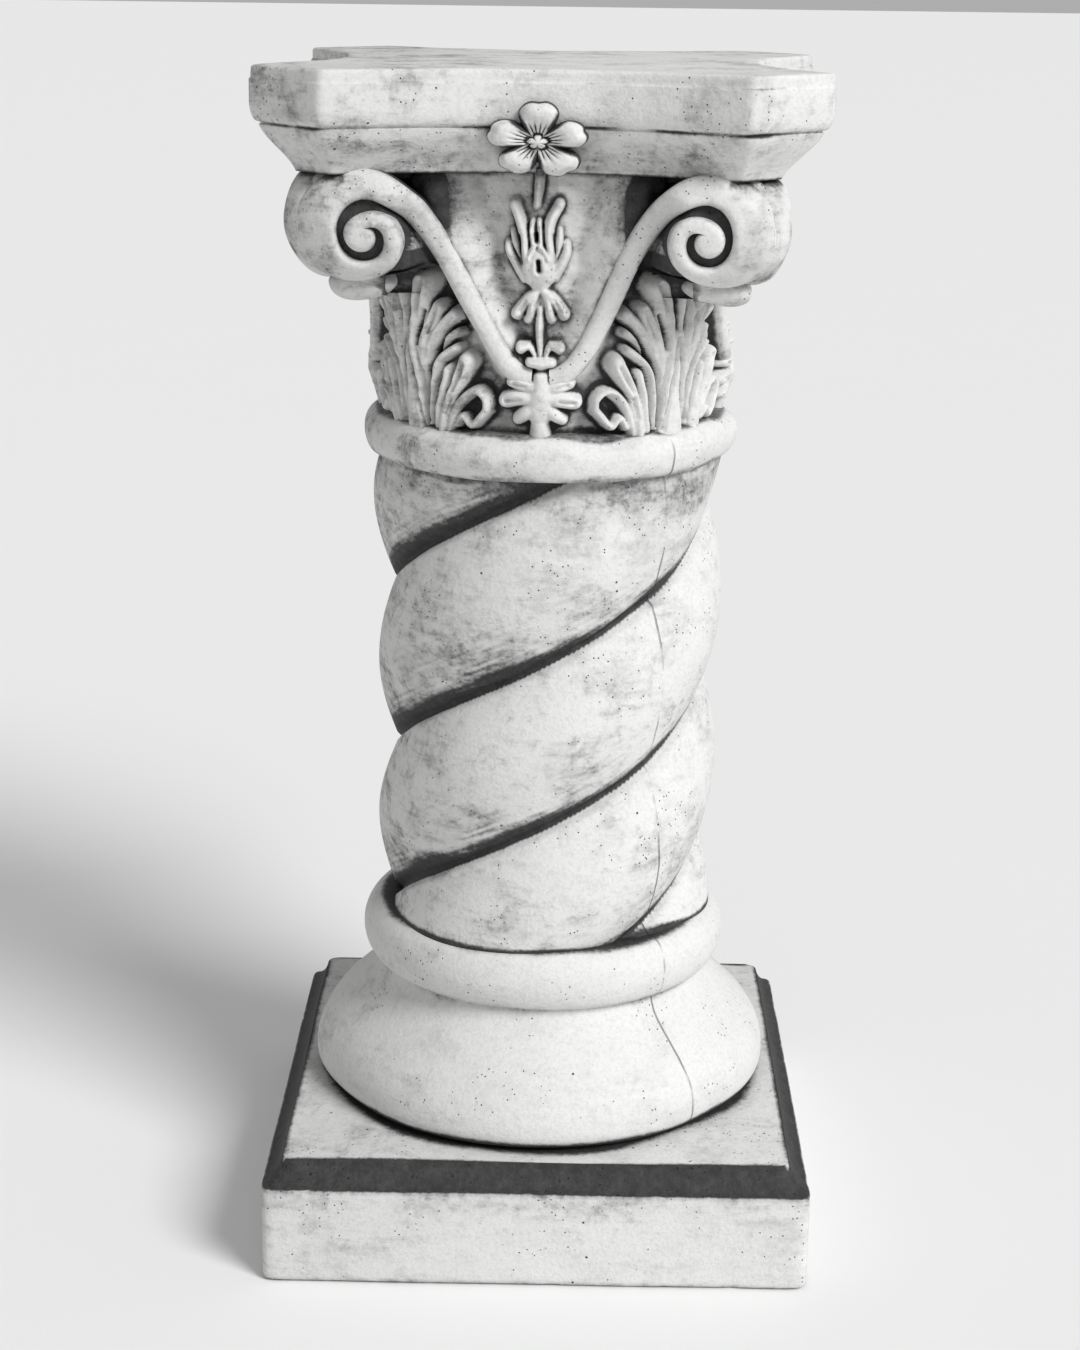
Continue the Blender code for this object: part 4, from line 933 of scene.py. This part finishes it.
def softened_loop(loop, counts, spread):
    """Loop cut into small steps, with its corners rounded by a Gaussian average along it."""
    after = np.roll(loop, -1, axis=0)
    fine = np.concatenate([mix(a, b, np.arange(n)[:, None] / n) for a, b, n in zip(loop, after, counts)])
    frequency = np.fft.fftfreq(len(fine))
    kernel = np.exp(-2 * (math.pi * spread * frequency) ** 2)
    whole = np.fft.ifft(np.fft.fft(fine[:, 0] + 1j * fine[:, 1]) * kernel)
    return grid_of(whole.real, whole.imag)


def abacus_sheets(sizes, levels):
    """Profile of slope, groove, roll, face, fine step and round edge, carried round the softened plan."""
    slope = np.linspace(0, 1, 18)
    swell = (1 - np.cos(math.pi * slope)) / 2
    moulding = mix(ABACUS_MOULDING_INSET, ABACUS_GROOVE_INSET + 0.0004, mix(slope, swell, 0.45))
    moulding_z = mix(levels.bell_top, levels.groove - 0.0010, slope)
    dip = np.linspace(0, math.pi, 6)[1:-1]
    groove = ABACUS_GROOVE_INSET + ABACUS_GROOVE_DEPTH * np.sin(dip)
    groove_z = mix(levels.groove - 0.0010, levels.groove + 0.0008, dip / math.pi)
    roll = np.linspace(0, math.pi / 2, 12)
    roll_inset = (ABACUS_GROOVE_INSET - 0.0002) * (1 - np.sin(roll))
    roll_z = mix(levels.groove + 0.0008, levels.groove + 0.0120, 1 - np.cos(roll))
    step_z = levels.top - ABACUS_STEP_DROP
    face_z = np.linspace(roll_z[-1], step_z - 0.0008, 6)[1:]
    step = np.array([0.0, 0.5, 1.0]) * ABACUS_STEP_INSET
    rim = np.linspace(0, math.pi / 2, 5)
    rim_inset = ABACUS_STEP_INSET + ABACUS_RIM_ROUND * (1 - np.cos(rim))
    rim_z = levels.top - ABACUS_TOP_DROP - ABACUS_RIM_ROUND * (1 - np.sin(rim))
    upper_z = np.linspace(step_z, rim_z[0], 4)
    insets = np.concatenate([moulding, groove, roll_inset, 0 * face_z, step, np.full(3, ABACUS_STEP_INSET),
                             rim_inset])
    heights = np.concatenate([moulding_z, groove_z, roll_z, face_z, step_z + np.array([-0.0005, 0, 0.0004]),
                              upper_z[1:], rim_z])
    outline = abacus_outline(sizes)
    lengths = np.linalg.norm(np.roll(outline, -1, axis=0) - outline, axis=1)
    counts = np.maximum((lengths / 0.0022).astype(int), 3)
    loops = [softened_loop(inset_outline(outline, inset), counts, 1.15) for inset in insets]
    grid = np.zeros((len(insets), len(loops[0]), 3))
    grid[..., :2] = np.array(loops)
    grid[..., 2] = heights[:, None]
    shrink = np.linspace(1.0, 0.05, 22)[1:, None, None]
    top = np.repeat(grid[-1:], len(shrink), axis=0)
    top[..., :2] *= shrink
    bottom = np.repeat(grid[:1], 3, axis=0)
    bottom[..., :2] *= np.array([0.3, 0.6, 0.85])[:, None, None]
    grid = turned(worn(np.concatenate([bottom, grid, top]), 0.0006, 0.08, 51), sizes.head_turn)
    z = grid[..., 2]
    flat = z > levels.top - ABACUS_TOP_DROP - 1e-5
    chips = np.clip(ripple(grid, 0.010, 52) - 0.9, 0, 1) * CHIP_DEPTH
    grid[..., :2] *= (1 - chips * hump(z, levels.top, 0.0026) * ~flat / 0.16)[..., None]
    grid[..., 2] += np.where(flat, 0.0002 * np.clip(ripple(grid, 0.07, 53), -2, 2), 0.0)
    # patina and painted shade: a dark line along the groove and a fine dark line under the step
    groove_line = levels.groove - 0.0001 + 0.0004 * ripple(grid, 0.05, 56)
    line = hump(z, groove_line, 0.0011) * (0.56 + 0.34 * ripple(grid, 0.035, 54))
    fine = 0.40 * hump(z, step_z, 0.0006) * (0.5 + 0.6 * ripple(grid, 0.04, 55))
    # painted shade on the moulding's underside next to the bell
    underside_shade = ease(levels.bell_top + 0.0022, levels.bell_top, z)
    lower = (0.16 + 0.14 * ripple(grid, 0.045, 57)) * ease(levels.groove - 0.002, levels.groove - 0.010, z)
    return [closed(grid, most(line, fine, 0.85 * underside_shade, lower))]


def flower_sheets(sizes, levels):
    """Five-petal flower on a polar grid: angle b, radius share s from the centre to the rim.

    The rim is |cos(2.5 b)| to a low power, never under its share in the notches, and a little less at
    each tip. Petals are domed across and rise to s = 0.7, fine grooves run out from the centre, and an
    oval button stands in the middle. One flower stands on the middle of each side.
    """
    b = full_turn(FLOWER_COLUMNS)
    s = np.concatenate([np.linspace(0.02, 1, 34), [1.02, 1.02]])[:, None]
    half_petal, whole_petal = math.pi / PETALS, 2 * math.pi / PETALS
    petal = np.mod(b + half_petal, whole_petal) - half_petal
    cosine = np.abs(np.cos(PETALS / 2 * petal))
    number = np.floor(np.mod(b + half_petal, 2 * math.pi) / whole_petal)
    rim = np.maximum(cosine, 0.02) ** 0.24 * (1 - 0.05 * hump(petal, 0.0, 0.11))
    rim = np.maximum(rim, FLOWER_NOTCH_SHARE) * (1 + 0.05 * np.cos(number * 2.4 + 1.0))
    dome = np.clip(cosine, 0, 1) ** 0.45
    cup = 0.0012 + 0.0082 * ease(0.10, 0.72, s) - 0.0050 * ease(0.78, 1.0, s) ** 1.5
    cup = cup * (0.25 + 0.75 * dome)
    grooves = sum(hump(petal, place, 0.042) for place in (-0.34, -0.12, 0.12, 0.34)) * hump(s, 0.36, 0.17)
    across, upward = s * np.sin(b), s * np.cos(b)
    oval = np.hypot(across / 0.21, upward / 0.18)
    button = np.where(oval < 1, 0.0022 + 0.0052 * np.clip(1 - oval ** 2.2, 0, 1) ** 0.6, 0.0)
    height = np.maximum(cup - 0.0016 * grooves, button)
    height[-2:] = np.array([[-0.003], [-0.018]])
    centre = levels.bell_top + FLOWER_RISE
    depth = sizes.abacus_half_width - ABACUS_HOLLOW + 0.0008
    z = centre + mix(*FLOWER_HALF_HEIGHTS, upward > 0) * rim * upward
    lean = -0.34 * np.clip(centre - z, 0, None) + 0.06 * np.clip(z - centre, 0, None)
    grid = grid_of(FLOWER_HALF_WIDTH * rim * across, -(depth + height + lean), z)
    # patina and painted shade in the gaps between petals, round the button, in the grooves and under the rim
    gaps = ease(0.62, 0.22, cosine) * ease(0.25, 0.6, s)
    ring = ease(1.55, 1.15, oval) * ease(0.92, 1.0, oval)
    shade_and_patina = most(0.95 * gaps, 0.95 * ring, 0.8 * grooves, 0.85 * ease(0.955, 1.0, s))
    return four_placed([closed(grid, shade_and_patina)], sizes, 0.0005, 0.02, 61)


class Wire:
    """A number that flows between shader nodes, so that a sum of wires reads as Python."""

    def __init__(self, graph, socket):
        self.graph = graph
        self.socket = socket

    def math(self, operation, *others, clamp=False):
        """New wire from a Math node on this wire and other wires or numbers."""
        places = dict(enumerate((self, *others)))
        node = self.graph.node("ShaderNodeMath", {"operation": operation, "use_clamp": clamp}, places)
        return Wire(self.graph, node.outputs[0])

    def __add__(self, other):
        return self.math("ADD", other)

    def __sub__(self, other):
        return self.math("SUBTRACT", other)

    def __rsub__(self, other):
        return self * -1.0 + other

    def __mul__(self, other):
        return self.math("MULTIPLY", other)

    __radd__ = __add__
    __rmul__ = __mul__

    def larger(self, other):
        return self.math("MAXIMUM", other)

    def size(self):
        return self.math("ABSOLUTE")

    def clamped(self):
        return self.math("ADD", 0.0, clamp=True)

    def step(self, low, high):
        """Smooth step of this wire between two numbers."""
        places = {"Value": self, "From Min": low, "From Max": high}
        node = self.graph.node("ShaderNodeMapRange", {"interpolation_type": "SMOOTHSTEP"}, places)
        return Wire(self.graph, node.outputs[0])


class Graph:
    """The node tree of one material."""

    def __init__(self, name):
        self.material = bpy.data.materials.new(name)
        self.material.use_nodes = True
        self.tree = self.material.node_tree
        self.shader = self.tree.nodes["Principled BSDF"]
        coordinates = self.tree.nodes.new("ShaderNodeTexCoord")
        self.place = coordinates.outputs["Object"]

    def put(self, socket, value):
        """Link a wire or a socket, or set a plain value."""
        if isinstance(value, Wire):
            value = value.socket
        if isinstance(value, bpy.types.NodeSocket):
            self.tree.links.new(value, socket)
        else:
            socket.default_value = value

    def node(self, kind, settings, places):
        """Node of a kind with its settings made first, then values or links by socket name or number."""
        node = self.tree.nodes.new(kind)
        for name, value in settings.items():
            setattr(node, name, value)
        self.feed(node, places)
        return node

    def feed(self, node, places):
        """Values or links put on a node's sockets."""
        for place, value in places.items():
            self.put(node.inputs[place], value)

    def noise(self, scale, detail=4.0, roughness=0.55, place=None, distortion=0.0):
        """Fractal noise around 0.5 on Object coordinates."""
        places = {"Vector": place or self.place, "Scale": scale, "Detail": detail, "Roughness": roughness,
                  "Distortion": distortion}
        node = self.node("ShaderNodeTexNoise", {}, places)
        return Wire(self, node.outputs[0])

    def stretched(self, scale, turn=(0.0, 0.0, 0.0)):
        """Object coordinates turned and scaled differently along each axis."""
        node = self.node("ShaderNodeMapping", {}, {"Vector": self.place, "Rotation": turn, "Scale": scale})
        return node.outputs[0]

    def cells(self, scale):
        """Distance from the nearest cell centre, in cell widths."""
        node = self.node("ShaderNodeTexVoronoi", {}, {"Vector": self.place, "Scale": scale})
        return Wire(self, node.outputs[0])

    def attribute(self, name):
        node = self.node("ShaderNodeAttribute", {"attribute_name": name}, {})
        return Wire(self, node.outputs["Fac"])

    def axes(self):
        node = self.node("ShaderNodeSeparateXYZ", {}, {0: self.place})
        return [Wire(self, output) for output in node.outputs]

    def blend(self, amount, first, second):
        """Colour between two colours or colour sockets."""
        node = self.node("ShaderNodeMix", {"data_type": "RGBA"}, {0: amount, 6: first, 7: second})
        return node.outputs[2]


def colour(value, strength=1.0):
    """Colour with its brightness scaled, and full alpha."""
    return tuple(min(channel * strength, 1.0) for channel in value) + (1.0,)


def seam_mask(graph, x, y, z):
    """Fine wandering line of the mould seam on the front right diagonal."""
    outward = x * math.sin(SEAM_ANGLE) + y * -math.cos(SEAM_ANGLE)
    sideways = x * math.cos(SEAM_ANGLE) + y * math.sin(SEAM_ANGLE)
    drift, shiver = (graph.noise(scale, 2.0, place=graph.stretched((0.0, 0.0, 1.0))) - 0.5
                     for scale in (7.0, 60.0))
    off = (sideways + drift * 0.012 + shiver * 0.0022).size()
    line = off.step(0.0008, 0.0002) * outward.step(0.02, 0.05)
    return line * graph.noise(34.0, 2.0).step(0.36, 0.62) * z.step(*SEAM_END)


def stone_material(name, colours):
    """Cast stone: pale grain with cloudy and streaky greying, painted shade on the left and back faces,
    patina and painted shade where the mask gathers, and pinholes.
    """
    shift, smudging, pitting, seam = STONES[name]
    graph = Graph(name)
    x, y, z = graph.axes()
    shade_and_patina = graph.attribute("shade_and_patina")
    cloud = graph.noise(8.0 + shift, 4.0, 0.6)
    patch = graph.noise(30.0 + shift, 6.0, 0.70, distortion=0.5)
    grain = graph.noise(420.0, 2.0, 0.6)
    speck = graph.noise(150.0 + shift, 5.0, 0.74)
    strokes = graph.noise(60.0, 5.0, 0.72, place=graph.stretched((0.5, 0.5, 2.4), (0.25, 0.15, 0.0)))
    # painted shade: faces toward the left and the back are greyed as if turned from the light; it feeds the
    # cloudy greying and the veil
    shaded_side = x.step(0.03, -0.12) * 0.8 + y.step(-0.02, 0.12) * 0.5
    mottling = (patch * 0.55 + speck * 0.30 + strokes * 0.35).step(0.55, 0.78)
    cloud_and_side_shade = (cloud.step(0.36, 0.64) * 0.50 + shaded_side * 0.55).clamped()
    side_shade_and_speck_veil = shaded_side * 0.20 + speck.step(0.46, 0.74) * 0.17 + grain.step(0.5, 0.75) * 0.12
    greying_and_side_shade = (mottling * (cloud_and_side_shade + 0.22) * smudging + side_shade_and_speck_veil).clamped()
    ragged = (speck - 0.5) * 0.85 + (patch - 0.5) * 0.55 + (grain - 0.5) * 0.40 + (strokes - 0.5) * 0.50
    # patina and painted shade: the mask darkens toward the patina colour, with a thinner grey film at its
    # edges
    shade_and_patina_film = (shade_and_patina + ragged * shade_and_patina.step(0.02, 0.30) * shade_and_patina.step(1.15, 0.75)).step(0.34, 0.86)
    thin_shade_and_patina_film = (shade_and_patina + ragged * 0.75 * shade_and_patina.step(0.0, 0.2)).step(0.06, 0.60) * 0.62
    holes = graph.cells(270.0).step(0.145, 0.085) * graph.noise(30.0 + shift, 2.0).step(0.53, 0.56) * pitting
    large = graph.cells(70.0).step(0.060, 0.040) * graph.noise(11.0 + shift, 1.0).step(0.54, 0.57) * pitting
    pits = holes.larger(large).clamped()
    bright = (grain.step(0.3, 0.7) * 0.45 + speck.step(0.3, 0.7) * 0.35 + cloud * 0.25).clamped()
    pale = graph.blend(bright, colour(colours.stone, 0.84), colour(colours.stone, 1.14))
    toned = graph.blend(greying_and_side_shade, pale, colour(colours.smudge_and_shade))
    thinly_filmed_and_shaded = graph.blend(thin_shade_and_patina_film, toned, colour(colours.smudge_and_shade, 0.48))
    dark = graph.blend(speck.step(0.35, 0.8), colour(colours.patina_and_shade_colour), colour(colours.patina_and_shade_colour, 2.4))
    filmed_and_shaded = graph.blend(shade_and_patina_film, thinly_filmed_and_shaded, dark)
    relief = grain * 0.25 + speck * 0.55 + strokes * 0.30 + patch * 0.45 - pits * 2.0
    if seam:
        line = seam_mask(graph, x, y, z)
        filmed_and_shaded = graph.blend((line * 0.60).clamped(), filmed_and_shaded, colour(colours.patina_and_shade_colour, 2.0))
        relief = relief - line * 1.2
    finished = graph.blend(pits * 0.9, filmed_and_shaded, colour(colours.pit))
    bump = graph.node("ShaderNodeBump", {}, {"Strength": 0.85, "Distance": 0.0012, "Height": relief})
    graph.feed(graph.shader, {"Base Color": finished, "Normal": bump.outputs[0], "Metallic": 0.0,
                              "Roughness": (0.82 + speck * 0.14 - shade_and_patina_film * 0.24).clamped(),
                              "Specular IOR Level": 0.32})
    return graph.material


def floor_material(colours):
    """Pale matt ground with a faint unevenness."""
    graph = Graph("pale_ground")
    tone = graph.blend(graph.noise(3.0, 2.0) * 0.3, colour(colours.floor), colour(colours.floor, 0.97))
    graph.feed(graph.shader, {"Base Color": tone, "Roughness": 0.9})
    return graph.material


class ColumnOperator:
    """Common ground of the operators that build stone pieces."""

    bl_options = {"REGISTER", "UNDO"}

    def build(self, context, name, sheets, stone):
        """One piece from the function that gives its sheets, in one kind of stone."""
        sizes = context.scene.column_sizes
        make_piece(name, sheets(sizes, Levels(sizes)), stone_material(stone, context.scene.column_colours))


class COLUMN_OT_plinth(ColumnOperator, bpy.types.Operator):
    """Build the square plinth with its dark hollow bevel"""

    bl_idname = "column.plinth"
    bl_label = "Plinth"

    def execute(self, context):
        self.build(context, "plinth", plinth_sheets, "plinth_stone")
        return {"FINISHED"}


class COLUMN_OT_base(ColumnOperator, bpy.types.Operator):
    """Build the turned base: torus, sweep and lower ring"""

    bl_idname = "column.base"
    bl_label = "Turned base"

    def execute(self, context):
        self.build(context, "turned_base", base_sheets, "base_stone")
        return {"FINISHED"}


class COLUMN_OT_shaft(ColumnOperator, bpy.types.Operator):
    """Build the twisted shaft with its dark cuts"""

    bl_idname = "column.shaft"
    bl_label = "Twisted shaft"

    def execute(self, context):
        self.build(context, "twisted_shaft", shaft_sheets, "shaft_stone")
        return {"FINISHED"}


class COLUMN_OT_bell(ColumnOperator, bpy.types.Operator):
    """Build the upper ring and the carved bell with its leaves, buds and sprigs"""

    bl_idname = "column.bell"
    bl_label = "Carved bell"

    def execute(self, context):
        self.build(context, "upper_ring", upper_ring_sheets, "ring_stone")
        sizes = context.scene.column_sizes
        levels = Levels(sizes)
        material = stone_material("bell_stone", context.scene.column_colours)
        fields = carving_fields(sizes, levels)
        halves = (("carved_bell_front", -FRONT_HALF_ANGLE, FRONT_HALF_ANGLE, FRONT_STEP),
                  ("carved_bell_back", FRONT_HALF_ANGLE, 2 * math.pi - FRONT_HALF_ANGLE, BACK_STEP))
        for name, start, end, step in halves:
            sheet = bell_sheet(sizes, levels, fields, start, end, step)
            make_piece(name, [sheet], material, CARVED_SMOOTH_ANGLE)
        return {"FINISHED"}


class COLUMN_OT_scrolls(ColumnOperator, bpy.types.Operator):
    """Build the scrolls, corner blocks, leaf tips and beads of the capital"""

    bl_idname = "column.scrolls"
    bl_label = "Scrolls"

    def execute(self, context):
        self.build(context, "corner_scrolls", corner_sheets, "scroll_stone")
        return {"FINISHED"}


class COLUMN_OT_abacus(ColumnOperator, bpy.types.Operator):
    """Build the abacus and the flowers on its sides"""

    bl_idname = "column.abacus"
    bl_label = "Abacus and flowers"

    def execute(self, context):
        self.build(context, "abacus", abacus_sheets, "abacus_stone")
        self.build(context, "abacus_flowers", flower_sheets, "flower_stone")
        return {"FINISHED"}


class COLUMN_OT_stage(ColumnOperator, bpy.types.Operator):
    """Build the pale floor, the soft sun and sky, and the camera at the photograph's angle"""

    bl_idname = "column.stage"
    bl_label = "Stage"

    def execute(self, context):
        build_floor(context.scene.column_colours)
        build_lights(context.scene)
        build_camera(context.scene)
        return {"FINISHED"}


def build_floor(colours):
    """Level square of pale ground just under the plinth."""
    mesh = bpy.data.meshes.new("ground")
    corners = [(x * FLOOR_HALF, y * FLOOR_HALF, -FLOOR_DROP) for x, y in ((-1, -1), (1, -1), (1, 1), (-1, 1))]
    mesh.from_pydata(corners, [], [(0, 1, 2, 3)])
    mesh.materials.append(floor_material(colours))
    ground = bpy.data.objects.new("ground", mesh)
    bpy.context.scene.collection.objects.link(ground)


def build_lights(scene):
    """One broad sun from the front right over an even pale sky."""
    lamp = bpy.data.lights.new("window_light", "SUN")
    lamp.energy = SUN_STRENGTH
    lamp.angle = SUN_SPREAD
    lamp_object = bpy.data.objects.new("window_light", lamp)
    place = np.array(SUN_PLACE)
    back = place / np.linalg.norm(place)
    right = np.cross([0.0, 0.0, 1.0], back)
    right /= np.linalg.norm(right)
    lamp_object.matrix_world = frame_matrix(right, np.cross(back, right), back, place)
    scene.collection.objects.link(lamp_object)
    world = bpy.data.worlds.new("pale_sky")
    world.use_nodes = True
    background = world.node_tree.nodes["Background"]
    background.inputs["Color"].default_value = (1.0, 1.0, 1.0, 1.0)
    background.inputs["Strength"].default_value = SKY_STRENGTH
    scene.world = world
    scene.view_settings.view_transform = "Standard"


def frame_matrix(right, up, back, place):
    """Matrix whose columns are the three axes and the place."""
    matrix = np.identity(4)
    matrix[:3] = np.column_stack([right, up, back, place])
    return Matrix(matrix.tolist())


def build_camera(scene):
    """Camera turned by yaw about the upright, pitched down, then rolled about its view."""
    heading = (Matrix.Rotation(CAMERA_YAW, 3, "Z") @ Matrix.Rotation(-CAMERA_PITCH, 3, "X")
               @ Matrix.Rotation(CAMERA_ROLL, 3, "Y"))
    axes = np.array(heading)
    data = bpy.data.cameras.new("photo_view")
    data.lens = CAMERA_LENS
    data.sensor_width = CAMERA_SENSOR
    data.clip_start, data.clip_end = CAMERA_RANGE
    camera = bpy.data.objects.new("photo_view", data)
    camera.matrix_world = frame_matrix(axes[:, 0], axes[:, 2], -axes[:, 1], CAMERA_PLACE)
    scene.collection.objects.link(camera)
    scene.camera = camera


class COLUMN_PT_panel(bpy.types.Panel):
    """Sidebar panel with the column's operators, sizes and colours"""

    bl_idname = "COLUMN_PT_panel"
    bl_label = "Cast stone column"
    bl_space_type = "VIEW_3D"
    bl_region_type = "UI"
    bl_category = "Column"

    def draw(self, context):
        for operator in OPERATORS:
            self.layout.operator(operator.bl_idname)
        for group in (context.scene.column_sizes, context.scene.column_colours):
            for name in group.bl_rna.properties.keys():
                if name not in ("rna_type", "name"):
                    self.layout.prop(group, name)


OPERATORS = (COLUMN_OT_plinth, COLUMN_OT_base, COLUMN_OT_shaft, COLUMN_OT_bell, COLUMN_OT_scrolls,
             COLUMN_OT_abacus, COLUMN_OT_stage)
CLASSES = (ColumnSizes, ColumnColours) + OPERATORS + (COLUMN_PT_panel,)


def register():
    for cls in CLASSES:
        bpy.utils.register_class(cls)
    bpy.types.Scene.column_sizes = bpy.props.PointerProperty(type=ColumnSizes)
    bpy.types.Scene.column_colours = bpy.props.PointerProperty(type=ColumnColours)


def unregister():
    del bpy.types.Scene.column_sizes
    del bpy.types.Scene.column_colours
    for cls in reversed(CLASSES):
        bpy.utils.unregister_class(cls)


def main():
    """Register the classes and build every piece in order."""
    register()
    bpy.ops.column.stage()
    bpy.ops.column.plinth()
    bpy.ops.column.base()
    bpy.ops.column.shaft()
    bpy.ops.column.bell()
    bpy.ops.column.scrolls()
    bpy.ops.column.abacus()


if __name__ == "__main__":
    main()
